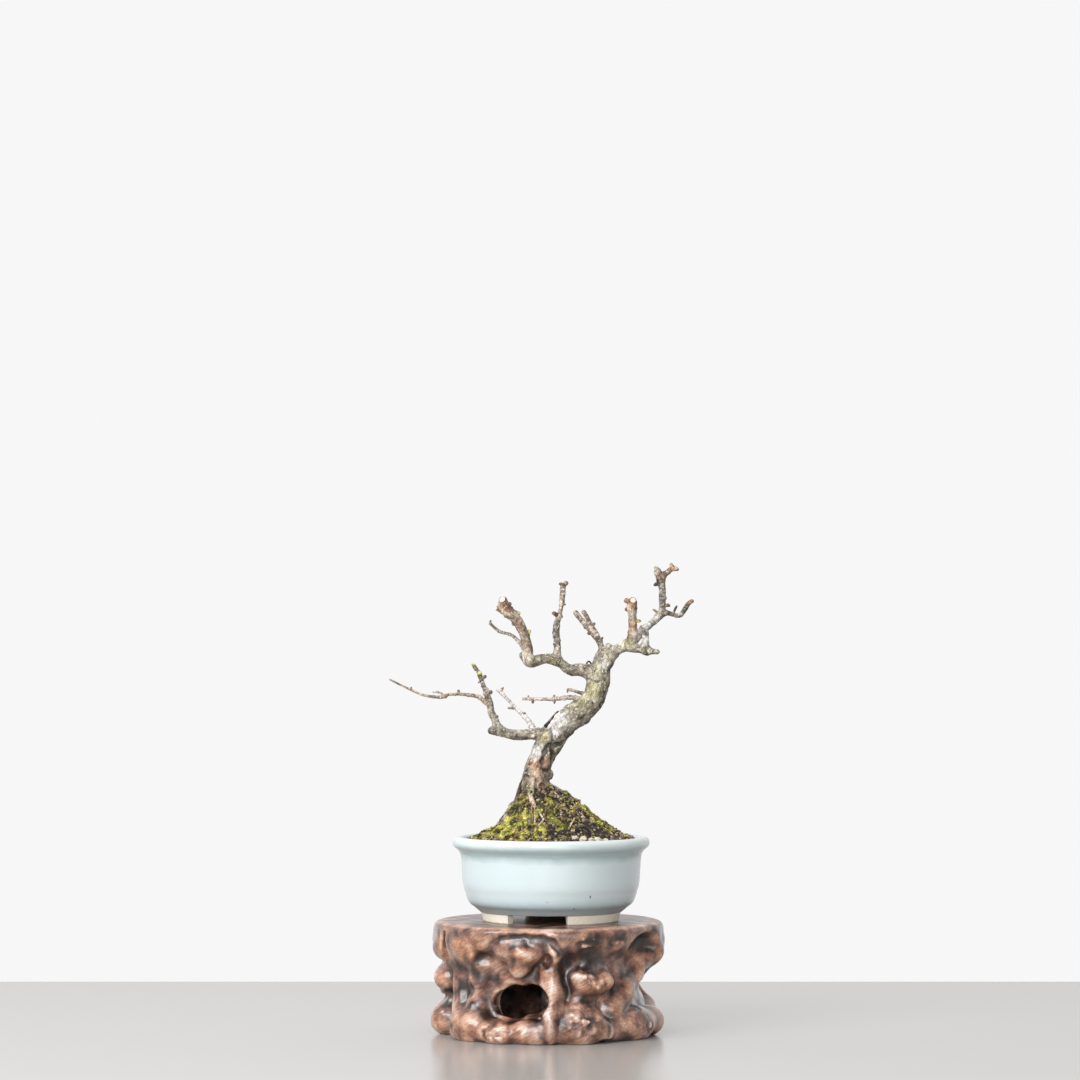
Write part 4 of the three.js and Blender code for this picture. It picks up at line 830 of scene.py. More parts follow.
# Splits, folds and undercuts of the bark, as seen from the front: routes of x, z and half width.
SPLITS = [
    [[-2.9, 162.4, 0.8], [-3.6, 159, 1.2], [-4.8, 155.5, 1], [-5.6, 152.6, 0.5]],
    [[-1.2, 163, 0.9], [2.5, 163, 1.2], [6, 164.2, 1], [8.6, 166, 0.6]],
    [[0.6, 161, 1.3], [1, 157, 1.5], [-0.4, 153, 0.9]],
    [[-4.5, 149.2, 0.5], [-1, 148.4, 0.7], [2.2, 149.2, 0.5]],
    [[-0.6, 145.5, 0.7], [1.6, 144, 1.1], [2.6, 141.5, 1]],
    [[-12.6, 150, 0.5], [-13.6, 145, 0.7], [-15, 139, 0.7], [-16, 134, 0.5]],
    [[-5.6, 141, 0.6], [-6.6, 136, 0.8], [-6.2, 131, 0.7]],
    [[-13.6, 136, 0.6], [-14.2, 131, 0.8], [-13.5, 127, 0.6]],
    [[-0.8, 172, 0.5], [0.4, 168.6, 0.6], [0.8, 165.4, 0.6]],
    [[-14.2, 143, 0.3], [-16, 139, 0.5], [-18.4, 134.5, 0.6], [-20.6, 130.5, 0.5]],
    [[-11.6, 139, 0.3], [-15.4, 135, 0.5], [-17.2, 131, 0.5]],
    [[-8.2, 144, 0.3], [-9, 139.5, 0.5], [-8.2, 135, 0.5]],
    [[22, 200, 0.1], [26, 199.2, 0.2], [31, 199.8, 0.1]],
    [[22.8, 188.4, 0.15], [23.6, 187, 0.3], [24.4, 186, 0.15]],
]
# How the bark differs on the side seen: x, z and reach, then how bare and pale, how olive with algae and how
# rusty it is.
SKIN = [
    [1.6, 171, 4.6, 1, 0, 0], [2.2, 175, 6, 1, 0, 0], [4.2, 179, 5, 1, 0, 0], [7.6, 181, 3, 0.8, 0, 0.2],
    [9, 175, 5, 0.4, 0, 0], [-8, 160, 4.6, 0.9, 0, 0], [-9.6, 156, 3.4, 0.6, 0.1, 0],
    [2.8, 167, 2.4, 0.5, 0, 0.6], [-3.5, 168, 4.5, 0, 0.6, 0.2], [0.5, 158, 3.5, 0, 0.5, 0.35],
    [-6.8, 151, 6.5, 0, 0, 1], [-2, 147.5, 4.5, 0.2, 0, 0.8], [-8.5, 146, 5.5, 0.1, 0.25, 0.9],
    [-5, 139.5, 5, 0, 0.35, 0.8], [-9, 137, 4.5, 0, 0.9, 0], [-11.2, 133, 2.4, 0.8, 0, 0.1],
    [-10.5, 126, 4, 0, 0.2, 0.8], [-16, 138, 6, 0, 0.5, 0.2], [-4, 134, 6, 0, 0.2, 0.8],
    [-9.5, 152.5, 5.5, 0, 0, 1], [-4, 154, 5, 0, 0, 1], [-7, 142, 5.5, 0, 0.3, 0.7],
    [-12, 145, 3.5, 0.2, 0.3, 0.5], [12, 183, 5, 0.1, 0.3, 0], [18, 188, 7, 0, 0.45, 0],
    [24, 194, 8, 0, 0.5, 0], [27, 203, 7, 0.1, 0.4, 0], [33, 214, 5, 0.2, 0.4, 0],
    [44, 221, 4, 0.1, 0.6, 0.1], [30, 209, 4, 0.4, 0.1, 0], [50, 226, 4, 0.9, 0, 0], [55, 231, 4.5, 1, 0, 0],
    [60, 235, 4.5, 0.8, 0, 0], [54, 222, 3.4, 1, 0, 0], [64, 247, 9, 0.25, 0, 0.1],
    [-25, 241, 6.5, 0, 0, 0.95], [-18, 231, 8, 0.1, 0, 0.75], [-14, 219, 6, 0, 0, 0.5], [46, 243, 5, 0, 0, 1],
    [46.5, 230, 9, 0, 0, 0.8], [70, 264, 5, 0, 0, 1], [64, 260, 4.5, 0, 0, 0.6], [80, 244, 4, 0, 0, 0.8],
    [73, 238, 6, 0.2, 0, 0.2], [0, 211, 5, 0.1, 0.5, 0], [8, 208, 5, 0.2, 0.3, 0], [-8, 213, 5, 0.1, 0.4, 0],
    [3, 222, 7, 0.2, 0, 0.15], [6.4, 245, 10, 0.3, 0, 0.65], [22, 232, 13, 0.3, 0, 0.8],
    [-22, 170, 10, 0.2, 0.2, 0.1],
]
TREE_STEP = 0.5
TREE_LOW = [-50, -36, 82]
TREE_HIGH = [88, 36, 270]
FAR = 6.0
COLLAR = 2.2
KNOBBY_BELOW = 3.4
KNOB_CHANCE = 0.6
LIMB_SPACING = 2.5
TWIG_SPACING = 0.7
NODE_SPACING = 7.5


def normals_of(points, faces):
    a, b, c, d = (points[faces[:, n]] for n in (0, 1, 2, -1))
    across = np.repeat(np.cross(c - a, d - b), faces.shape[1], axis=0)
    total = np.stack([np.bincount(faces.ravel(), across[:, m], len(points)) for m in range(3)], 1)
    return total / np.maximum(np.linalg.norm(total, axis=1, keepdims=True), 1e-9)


def frames(route):
    """For each point of a route, its direction and two directions across it that don't twist."""
    along = np.gradient(route[:, :3], axis=0)
    along /= np.linalg.norm(along, axis=1, keepdims=True)
    across = np.array([0.31, 0.87, 0.38])
    firsts = []
    for direction in along:
        across = across - direction * np.dot(across, direction)
        across = across / np.linalg.norm(across)
        firsts.append(across)
    return along, np.array(firsts), np.cross(along, firsts)


tree_axes = [np.arange(a, b, TREE_STEP) for a, b in zip(TREE_LOW, TREE_HIGH)]
wood = np.full([len(a) for a in tree_axes], FAR, np.float32)
thick_limbs = {name: smooth_route(route, LIMB_SPACING) for name, route in LIMBS.items() if name not in TWIGS}
for route in thick_limbs.values():
    room = route[:, 3].max() + 3
    ends = zip(tree_axes, route[:, :3].min(0) - room, route[:, :3].max(0) + room)
    box = tuple(slice(*np.searchsorted(a, [lo, hi])) for a, lo, hi in ends)
    limb_axes = [a[s] for a, s in zip(tree_axes, box)]
    limb = np.full([len(a) for a in limb_axes], FAR, np.float32)
    work_route(limb, limb_axes, route.tolist(), np.minimum, 3)
    wood[box] = join(wood[box], limb, COLLAR)
# The thinner limbs are set with small knobs where buds were lost.
chance = np.random.default_rng(3)
knobs = [(np.array(spot), r, COLLAR) for *spot, r in BURRS]
for route in thick_limbs.values():
    _, first, second = frames(route)
    for n in range(2, len(route) - 1):
        a, size = chance.uniform(0, 2 * np.pi), chance.uniform(0.5, 1)
        if route[n, 3] < KNOBBY_BELOW and chance.uniform() < KNOB_CHANCE:
            out = math.cos(a) * first[n] + math.sin(a) * second[n]
            knobs.append((route[n, :3] + out * (route[n, 3] - 0.1), size, 0.7))
for spot, r, ease in knobs:
    form = lambda p: np.linalg.norm(p - spot, axis=1) - r
    work(wood, tree_axes, spot - r - 3, spot + r + 3, form, lambda a, b: join(a, b, ease))
whole = wood.copy()


def bark_front(x, z):
    """How far back the wood's surface is at a place seen from the front."""
    i, k = round((x - TREE_LOW[0]) / TREE_STEP), round((z - TREE_LOW[2]) / TREE_STEP)
    return tree_axes[1][np.argmax(whole[i, :, k] < 0)]


for route in SPLITS:
    work_route(wood, tree_axes, [[x, bark_front(x, z) + 0.3, z, r] for x, z, r in route], gouge, 2)
for spot, facing, r in SAW_CUTS:
    spot, facing = np.array(spot), np.array(facing) / np.linalg.norm(facing)
    work(wood, tree_axes, spot - r - 1, spot + r + 1, lambda p: (p - spot) @ facing, np.maximum)
wood_points, wood_faces = mesh_of(wood, TREE_LOW, TREE_STEP)


def bark_place(points, limbs):
    """Where each point is on its limb: two lengths across, the length along, and the limb's radius."""
    best = np.full(len(points), np.inf)
    place = np.zeros((len(points), 4))
    run = 0
    for route in limbs.values():
        along, first, second = frames(route)
        steps = np.linalg.norm(np.diff(route[:, :3], axis=0), axis=1)
        lengths = run + np.concatenate([[0], np.cumsum(steps)])
        run = lengths[-1] + 40
        for n, (*middle, r) in enumerate(route):
            off = points - middle
            far = np.linalg.norm(off, axis=1) - r
            closer = np.flatnonzero(far < best)
            best[closer] = far[closer]
            o = off[closer]
            spots = [o @ first[n], o @ second[n], lengths[n] + o @ along[n], o[:, 0] * 0 + r]
            place[closer] = np.stack(spots, 1)
    return place


def bark_values(place, skin, shade_cut_and_rings, redness):
    return {"fibre": place[:, :3] * [MM, MM, 0.75 * MM], "skin": skin, "shade_cut_and_rings": shade_cut_and_rings, "redness": redness}


place = bark_place(wood_points, thick_limbs)
ground = place[:, :3] * [1, 1, 0.6]
old = np.clip((place[:, 3] - 1.2) / 5, 0, 1)
swell = noise(wood_points / 4.2, 21) * (0.15 + 0.6 * old)
cracks = np.clip(0.18 - np.abs(noise(ground / 2.2, 22)), 0, 1) / 0.18
flakes = noise(ground / 1.1, 23)
depth = swell - cracks * (0.08 + 0.4 * old) + flakes * (0.1 + 0.14 * old)
facing = normals_of(wood_points, wood_faces)
ragged = 0.45 * noise(wood_points / 1.7, 24) + 0.25 * noise(wood_points / 0.8, 25)
skin = np.zeros((len(wood_points), 3))
for x, z, reach, *amounts in SKIN:
    far = np.hypot(wood_points[:, 0] - x, wood_points[:, 2] - z) / reach
    share = np.clip(1.7 - 1.7 * far + ragged, 0, 1) * np.clip(0.7 - facing[:, 1], 0, 1)
    skin = np.maximum(skin, share[:, None] * amounts)
# Painted shade: the bark is darkened inside the splits, and on its right and lower sides, away from the light.
shaded = np.clip(-sample(whole, TREE_LOW, TREE_STEP, wood_points) / 1.2, 0, 0.8)
shade_right_and_under = np.clip(0.9 * facing[:, 0] - facing[:, 2] - 0.35 + 0.4 * ragged, 0, 1)
shaded = np.maximum(shaded, 0.62 * shade_right_and_under)
sawn = np.zeros(len(wood_points))
for spot, way, r in SAW_CUTS:
    off = wood_points - spot
    flat = np.abs(off @ way) / np.linalg.norm(way) < 0.3
    sawn[flat] = np.maximum(sawn[flat], 1.25 - np.linalg.norm(off[flat], axis=1) / r)
banded = np.clip(3 - place[:, 3], 0, 1)
wood_points = wood_points + facing * (depth * (sawn <= 0))[:, None]
# These three values are the painted shade, the sawn face and the bud-scar rings.
shade_cut_and_rings = np.column_stack([shaded, np.clip(sawn, 0, 1), banded])
wood_values = bark_values(place, skin, shade_cut_and_rings, np.zeros(len(wood_points)))


def swept(route, sides, dome=0.5, lump=0.0, seed=1):
    """A limb through points [x, y, z, radius], and where each of its points is on it."""
    along, first, second = frames(route)
    turns = 2 * np.pi * np.arange(sides) / sides
    length = np.concatenate([[0], np.cumsum(np.linalg.norm(np.diff(route[:, :3], axis=0), axis=1))])
    ring = np.cos(turns)[None, :, None] * first[:, None] + np.sin(turns)[None, :, None] * second[:, None]
    plain = route[:, None, :3] + ring * route[:, None, 3:4]
    bump = 1 + lump * noise(plain.reshape(-1, 3) / 1.6, seed).reshape(*plain.shape[:2], 1)
    rings = route[:, None, :3] + ring * route[:, None, 3:4] * bump
    points, faces = tube(rings, route[0, :3], route[-1, :3] + along[-1] * route[-1, 3] * dome)
    place = np.zeros((len(points), 4))
    place[1:-1, 0] = (np.cos(turns) * route[:, 3:4]).ravel()
    place[1:-1, 1] = (np.sin(turns) * route[:, 3:4]).ravel()
    place[1:-1, 2] = np.repeat(length, sides) + 60 * seed
    place[:, 3] = np.concatenate([[route[0, 3]], np.repeat(route[:, 3], sides), [route[-1, 3]]])
    return points, faces, place


twig_parts = []
for seed, name in enumerate(TWIGS):
    route = smooth_route(LIMBS[name], TWIG_SPACING)
    run = TWIG_SPACING * np.arange(len(route))
    route[:, 3] *= 1 + 0.3 * np.maximum(0, np.cos(run * 2 * np.pi / NODE_SPACING + seed)) ** 16
    points, faces, place = swept(route, 12, lump=0.14, seed=seed + 3)
    plain = np.ones((len(points), 1))
    values = bark_values(place, plain * TWIGS[name], plain * [0, 0, 0.6], 0.1 * plain[:, 0])
    twig_parts.append((points, faces, values))
all_wood = np.concatenate([smooth_route(route, 0.8) for route in LIMBS.values()])
BUD_PROFILE = [[0, 1], [0.3, 0.95], [0.5, 1], [0.7, 0.95], [0.86, 0.72], [0.95, 0.45], [1, 0.2]]
BUD_SIDES = 12
for seed, (*middle, r) in enumerate(BUDS):
    nearest = all_wood[np.argmin(np.linalg.norm(all_wood[:, :3] - middle, axis=1))]
    out = 0.88 * (middle - nearest[:3])
    middle, r = nearest[:3] + out, 0.9 * r
    out /= np.linalg.norm(out)
    start, tip = nearest[:3] + out * 0.5 * nearest[3], middle + out * 0.9 * r
    share = np.linspace(0, 1, 18)
    rise = 0.18 * r * np.sin(share * np.pi)
    line = start + share[:, None] * (tip - start) + rise[:, None] * [0, 0, 1]
    route = np.column_stack([line, r * np.interp(share, *np.transpose(BUD_PROFILE))])
    points, faces, place = swept(route, BUD_SIDES, lump=0.3, seed=seed + 30)
    colour = np.full(len(points), 2.0 if seed in GREEN_BUDS else 1.0)
    colour[: 1 + 9 * BUD_SIDES] = 0.5
    none = np.zeros((len(points), 3))
    twig_parts.append((points, faces, bark_values(place, none, none, colour)))
twig_points, twig_faces, twig_values = merge(twig_parts)

# Quince bark: thin and grey-olive, flaking to tan, dark in its cracks and dotted with pale breathing pores
# and crusts of lichen a millimetre across. Young shoots are smooth and red-brown, and buds green or dark red.
bark, tree, shader = finish("flaking_quince_bark", Roughness=0.7)
fibre = add(tree, "ShaderNodeAttribute", out="Vector", attribute_name="fibre")
red_value = add(tree, "ShaderNodeAttribute", out="Fac", attribute_name="redness")
skin_value = add(tree, "ShaderNodeAttribute", out="Vector", attribute_name="skin")
shade_cut_and_rings_value = add(tree, "ShaderNodeAttribute", out="Vector", attribute_name="shade_cut_and_rings")
bare, film, rust = (add(tree, "ShaderNodeSeparateXYZ", {0: skin_value}, out=axis) for axis in "XYZ")
shade, cut_face, bands = (add(tree, "ShaderNodeSeparateXYZ", {0: shade_cut_and_rings_value}, out=axis) for axis in "XYZ")
patches = add(tree, "ShaderNodeTexNoise", {"Vector": fibre, "Scale": 190, "Detail": 5, "Roughness": 0.68})
BARK = [(0.33, "#2f2924"), (0.7, "#eae5d8"), (0.43, "#6f665a"), (0.52, "#a09686"), (0.61, "#c4baa6")]
tint = add(tree, "ShaderNodeValToRGB", {"Fac": patches}, stops=BARK)
ALGAE = [(0.36, "#666036"), (0.66, "#c9c486"), (0.5, "#9a9459")]
algae = add(tree, "ShaderNodeValToRGB", {"Fac": patches}, stops=ALGAE)
tint = add(tree, "ShaderNodeMix", {0: film, 6: tint, 7: algae}, **BLENDED)
FLAKED = [(0.36, "#48362c"), (0.68, "#e6c8a8"), (0.5, "#a67c60")]
flaked = add(tree, "ShaderNodeValToRGB", {"Fac": patches}, stops=FLAKED)
tint = add(tree, "ShaderNodeMix", {0: rust, 6: tint, 7: flaked}, **BLENDED)
smooth = add(tree, "ShaderNodeValToRGB", {"Fac": patches}, stops=[(0.34, "#b3aca5"), (0.6, "#f4f0ec")])
tint = add(tree, "ShaderNodeMix", {0: bare, 6: tint, 7: smooth}, **BLENDED)
crack = add(tree, "ShaderNodeTexVoronoi", {"Vector": fibre, "Scale": 420}, feature="DISTANCE_TO_EDGE")
dark = add(tree, "ShaderNodeMapRange", {"Value": crack, "From Min": 0.0, "From Max": 0.09, "To Min": 0.4})
tint = add(tree, "ShaderNodeMix", {0: 0.7, 6: tint, 7: dark}, **MULTIPLIED)
crust = add(tree, "ShaderNodeTexNoise", {"Vector": fibre, "Scale": 900, "Detail": 3})
pale = add(tree, "ShaderNodeMapRange", {"Value": crust, "From Min": 0.61, "From Max": 0.67})
tint = add(tree, "ShaderNodeMix", {0: pale, 6: tint, 7: srgb("#ddd8ca")}, **BLENDED)
# The scars of old bud scales ring the young wood about every millimetre.
ringed = add(tree, "ShaderNodeMapping", {"Vector": fibre, "Scale": (0.25, 0.25, 1.2)})
rings = add(tree, "ShaderNodeTexNoise", {"Vector": ringed, "Scale": 1000, "Detail": 1})
scars = add(tree, "ShaderNodeMapRange", {"Value": rings, "From Min": 0.4, "From Max": 0.56, "To Min": 0.4})
tint = add(tree, "ShaderNodeMix", {0: bands, 6: tint, 7: scars}, **MULTIPLIED)
young = add(tree, "ShaderNodeMapRange", {"Value": red_value, "From Min": 0, "From Max": 1})
bract = add(tree, "ShaderNodeValToRGB", {"Fac": patches}, stops=[(0.4, "#4c3528"), (0.62, "#a98563")])
tint = add(tree, "ShaderNodeMix", {0: young, 6: tint, 7: bract}, **BLENDED)
green = add(tree, "ShaderNodeMapRange", {"Value": red_value, "From Min": 1, "From Max": 2})
leafy = add(tree, "ShaderNodeValToRGB", {"Fac": patches}, stops=[(0.38, "#6f6a35"), (0.56, "#cdcb84")])
tint = add(tree, "ShaderNodeMix", {0: green, 6: tint, 7: leafy}, **BLENDED)
# Painted shade: the bark is mixed towards near-black in the splits and on its right and lower sides.
tint = add(tree, "ShaderNodeMix", {0: shade, 6: tint, 7: srgb("#26221e")}, **BLENDED)
# A sawn face is pale wood inside a brown ring of bark.
SAWN = [(0.1, "#6d4a38"), (0.9, "#f7f0e2"), (0.3, "#8e6246"), (0.45, "#e2c7a5")]
disc = add(tree, "ShaderNodeValToRGB", {"Fac": cut_face}, stops=SAWN)
sawn_share = add(tree, "ShaderNodeMapRange", {"Value": cut_face, "From Min": 0.02, "From Max": 0.12})
tint = add(tree, "ShaderNodeMix", {0: sawn_share, 6: tint, 7: disc}, **BLENDED)
tree.links.new(tint, shader.inputs["Base Color"])
rough = add(tree, "ShaderNodeBump", {"Height": patches, "Strength": 0.7, "Distance": 0.001})
lichen = add(tree, "ShaderNodeBump", {"Height": crust, "Strength": 0.5, "Distance": 0.0003, "Normal": rough})
split = add(tree, "ShaderNodeBump", {"Height": dark, "Strength": 0.6, "Distance": 0.0004, "Normal": lichen})
tree.links.new(split, shader.inputs["Normal"])
make_piece("quince_wood", wood_points, wood_faces, bark, "quince_bark", "quince_tree", values=wood_values)
make_piece("quince_twigs", twig_points, twig_faces, bark, "quince_bark", "quince_tree", values=twig_values)

# The soil
# A mound of dark gritty bonsai soil, heaped steeply against the roots on the left and sloping gently to the
# right, with hard granules of 0.7 to 2.6 mm and fine dead rootlets showing on it.
FLOOR_THICKNESS = 4.7
SOIL_EDGE_DROP = 1.9
MOUND_PEAK = np.array([-8.5, 1])
MOUND_RISE = 31
POT_FLOOR = POT_BASE + FOOT_HEIGHT + FLOOR_THICKNESS
SOIL_EDGE = POT_BASE + POT_HEIGHT - SOIL_EDGE_DROP
STEEP_SIDE = [
    [0, 1.05], [0.14, 0.92], [0.25, 0.79], [0.38, 0.58], [0.47, 0.38], [0.6, 0.18], [0.78, 0.08], [1, 0],
]
GENTLE_SIDE = [
    [0, 1.05], [0.14, 0.99], [0.24, 0.88], [0.34, 0.76], [0.5, 0.53], [0.67, 0.3], [0.85, 0.1], [1, 0],
]
SOIL_WALL = 49.2
SOIL_INNER = [[37.6, POT_FLOOR + 0.3], [42.1, POT_BASE + 13.6], [45, POT_BASE + 24], [46.8, POT_BASE + 39]]
NET_CLEAR = 18
SOIL_SPOKES = 300
SOIL_RINGS = 110
GRANULES = 4200
rng = np.random.default_rng(7)


def mound_height(x, y):
    d = np.stack([x, y], -1) - MOUND_PEAK
    far = np.maximum(np.linalg.norm(d, axis=-1), 1e-6)
    u = d / far[..., None]
    facing = u @ MOUND_PEAK
    reach = -facing + np.sqrt(facing**2 - MOUND_PEAK @ MOUND_PEAK + SOIL_WALL**2)
    share = np.minimum(1, far / reach)
    steep = np.clip((0.2 - u[..., 0]) / 0.95, 0, 1)
    steep = steep * steep * (3 - 2 * steep)
    left = np.interp(share, *np.transpose(STEEP_SIDE)) * steep
    left += np.interp(share, *np.transpose(GENTLE_SIDE)) * (1 - steep)
    flat = np.stack([x, y, x * 0], -1)
    loose = 0.9 * noise(flat / 3.5 + [0, 0, 0.5], 11) + 0.7 * noise(flat / 9 + [0, 0, 0.5], 12)
    return SOIL_EDGE + MOUND_RISE * left + loose * np.minimum(1, 4 * (1 - share))


turns = 2 * np.pi * np.arange(SOIL_SPOKES) / SOIL_SPOKES
circle = np.stack([np.cos(turns), np.sin(turns)], 1)
rings = []
for r, z in [[NET_CLEAR, POT_FLOOR + 5], [NET_CLEAR, POT_FLOOR + 0.3], *SOIL_INNER]:
    rings.append(np.column_stack([r * circle, turns * 0 + z]))
for share in np.linspace(1, 0.01, SOIL_RINGS) ** 0.9:
    flat = np.column_stack([MOUND_PEAK + share * (SOIL_WALL * circle - MOUND_PEAK), turns * 0])
    crumb = 0.35 * noise(flat / 1.3, 13) + 0.2 * noise(flat / 0.6, 14)
    flat[:, 2] = mound_height(flat[:, 0], flat[:, 1]) + crumb * min(1, 8 * (1 - share) + 0.2)
    rings.append(flat)
soil_points, soil_faces = tube(rings, [0, 0, POT_FLOOR + 5], [*MOUND_PEAK, rings[-1][:, 2].mean()])


def ball():
    """The twelve points and twenty faces of a plain ball of radius one."""
    golden = (1 + 5**0.5) / 2
    signs = [(a, b) for a in (-1, 1) for b in (-golden, golden)]
    points = np.array([p for a, b in signs for p in ([0, a, b], [a, b, 0], [b, 0, a])])
    points = points / np.linalg.norm(points[0])
    close = np.linalg.norm(points[:, None] - points[None], axis=2) < 1.1
    faces = []
    for i in range(12):
        for j in range(i + 1, 12):
            for k in range(j + 1, 12):
                if close[i, j] and close[j, k] and close[i, k]:
                    out = np.dot(np.cross(points[j] - points[i], points[k] - points[i]), points[i])
                    faces.append([i, j, k] if out > 0 else [i, k, j])
    return points, np.array(faces)


def finer(points, faces):
    """Each triangle of a ball cut in four, with the new points pushed out to the ball."""
    edges = np.sort(np.concatenate([faces[:, [0, 1]], faces[:, [1, 2]], faces[:, [2, 0]]]), axis=1)
    unique, index = np.unique(edges, axis=0, return_inverse=True)
    middle = points[unique].mean(1)
    middle /= np.linalg.norm(middle, axis=1, keepdims=True)
    ab, bc, ca = len(points) + index.reshape(3, -1)
    a, b, c = faces.T
    split = [np.stack(t, 1) for t in ((a, ab, ca), (ab, b, bc), (ca, bc, c), (ab, bc, ca))]
    return np.vstack([points, middle]), np.concatenate(split)


def scatter(form, places, sizes, squash, dent):
    """Copies of a ball at the places, each turned, stretched and dented by chance, as one list."""
    points, faces = form
    turn = rng.normal(size=(len(places), 4))
    w, a, b, c = (turn / np.linalg.norm(turn, axis=1, keepdims=True)).T
    rows = [
        [1 - 2 * (b * b + c * c), 2 * (a * b - c * w), 2 * (a * c + b * w)],
        [2 * (a * b + c * w), 1 - 2 * (a * a + c * c), 2 * (b * c - a * w)],
        [2 * (a * c - b * w), 2 * (b * c + a * w), 1 - 2 * (a * a + b * b)],
    ]
    spin = np.moveaxis(np.array(rows), -1, 0)
    stretch = 1 + squash * rng.uniform(-1, 1, (len(places), 1, 3))
    local = points[None] * stretch * (1 + dent * rng.uniform(-1, 1, (len(places), len(points), 1)))
    cloud = np.einsum("nij,nkj->nki", spin, local) * sizes[:, None, None] + places[:, None]
    index = faces[None] + len(points) * np.arange(len(places))[:, None, None]
    return cloud.reshape(-1, 3), index.reshape(-1, 3)


def soil_spots(count, low, high):
    """Random places on the mound between two shares of the way out."""
    share = np.sqrt(rng.uniform(low**2, high**2, count))
    a = rng.uniform(0, 2 * np.pi, count)
    xy = MOUND_PEAK + share[:, None] * (SOIL_WALL * np.stack([np.cos(a), np.sin(a)], 1) - MOUND_PEAK)
    return np.column_stack([xy, mound_height(xy[:, 0], xy[:, 1])])


spots = soil_spots(GRANULES, 0.1, 0.985)
sizes = rng.uniform(0.35, 1, GRANULES) ** 2 * 1.1 + 0.2
granule_points, granule_faces = scatter(ball(), spots - [0, 0, 0.1], sizes, 0.3, 0.16)
granule_tint = np.repeat(rng.uniform(0, 1, GRANULES) ** 1.3, 12)
ground_tint = {"tint": 0.08 + 0.15 * noise(soil_points / 2, 15)}
soil_parts = [(soil_points, soil_faces, ground_tint), (granule_points, granule_faces, {"tint": granule_tint})]
crumb_points, crumb_faces, crumb_tint = merge(soil_parts)

# Bare surface roots, dead rootlets and bark scraps lie on the mound and the moss. The larger ones show from
# the front: how bleached each is, then its route of x, z, half width and, off the mound, y.
SHOWN_ROOTS = [
    [0.75, [[-8, 128.6, 0.4], [-6.3, 125, 0.55], [-4.4, 122.2, 0.6], [-6.3, 119.7, 0.6],
            [-8.7, 117.8, 0.55], [-11, 119.7, 0.3]]],
    [0.6, [[-0.7, 138.3, 0.3], [2.5, 136, 0.35], [5, 133.5, 0.35], [6.5, 131.5, 0.3]]],
    [0.7, [[13.2, 122.5, 0.5], [11.5, 120, 0.5], [9.8, 117.2, 0.4]]],
    [0.7, [[-12, 135, 1], [-11, 132.5, 1.7], [-9.8, 130.5, 1.3],
           [-9.2, 127.5, 0.6], [-9, 122, 0.5], [-10, 117.5, 0.3]]],
    [0.35, [[-10, 131, 0.6], [-11, 127, 0.7], [-10.4, 122, 0.6], [-12, 118.5, 0.4]]],
    [0.2, [[-3, 135, 0.5], [-2, 130, 0.6], [-3.5, 125, 0.5], [-3, 121, 0.4]]],
    [0, [[-15.5, 133, 0.6], [-17, 128, 0.7], [-16.4, 123.5, 0.6], [-18, 119, 0.4]]],
    [0.2, [[-21, 128, 0.5], [-23.5, 124, 0.6], [-27, 121, 0.5], [-29, 117.5, 0.4]]],
    [0.4, [[3, 130, 0.4], [7, 127.5, 0.5], [10, 127, 0.4], [13, 124, 0.3]]],
    [0, [[-14, 146, 0.5, -5], [-16.6, 142, 0.9, -3.6], [-18, 138, 0.9, -4.6],
         [-18.4, 133, 0.8, -6.5], [-18, 128, 0.6, -10]]],
]
ROOTLETS = 110
SOIL_FRONT = 47
ROOTLET_REACH = 46.5


def mound_front(x, z):
    """The nearest place to the viewer where the mound is as high as z."""
    y = np.linspace(-SOIL_FRONT, MOUND_PEAK[1], 300)
    return y[np.argmax(mound_height(y * 0 + x, y) >= z)]


def on_mound(x, z, r, y=None):
    return [x, mound_front(x, z) - 0.3 - 1.8 * r if y is None else y, z, r]


routes = [[on_mound(*place) for place in route] for _, route in SHOWN_ROOTS]
bleached = [tint for tint, _ in SHOWN_ROOTS] + rng.uniform(0, 1, ROOTLETS).tolist()
for start in soil_spots(ROOTLETS, 0.15, 0.85):
    way, r = start[:2] - MOUND_PEAK + rng.normal(size=2) * 12, rng.uniform(0.14, 0.34)
    steps = np.arange(6)[:, None] * way / np.linalg.norm(way) * rng.uniform(0.9, 2)
    xy = start[:2] + steps + np.cumsum(rng.normal(size=(6, 2)) * 0.5, 0)
    xy *= np.minimum(1, ROOTLET_REACH / np.linalg.norm(xy, axis=1))[:, None]
    lift = mound_height(xy[:, 0], xy[:, 1]) + 0.25
    routes.append(np.column_stack([xy, lift, np.full(6, r)]))
root_parts = []
for seed, route in enumerate(routes):
    points, faces, _ = swept(smooth_route(route, 0.6), 8, lump=0.4, seed=seed)
    root_parts.append((points, faces, {"tint": np.full(len(points), bleached[seed])}))
root_points, root_faces, root_values = merge(root_parts)
# Dead roots: barky, dark brown to bleached tan.
dead_root, tree, shader = finish("dead_rootlet", Roughness=0.8)
place = add(tree, "ShaderNodeTexCoord", out="Object")
tint_value = add(tree, "ShaderNodeAttribute", out="Fac", attribute_name="tint")
fleck = add(tree, "ShaderNodeTexNoise", {"Vector": place, "Scale": 900, "Detail": 4, "Roughness": 0.7})
spread = add(tree, "ShaderNodeMath", {0: fleck, 1: 2.2, 2: tint_value}, operation="MULTIPLY_ADD")
shade = add(tree, "ShaderNodeMapRange", {"Value": spread, "From Min": 0.9, "From Max": 2.3})
DEAD_ROOT = [(0.1, "#2c211b"), (0.85, "#eadbc4"), (0.5, "#8a6a50")]
tint = add(tree, "ShaderNodeValToRGB", {"Fac": shade}, stops=DEAD_ROOT)
tree.links.new(tint, shader.inputs["Base Color"])
make_piece("surface_rootlets", root_points, root_faces, dead_root, "soil", "soil_mound", values=root_values)

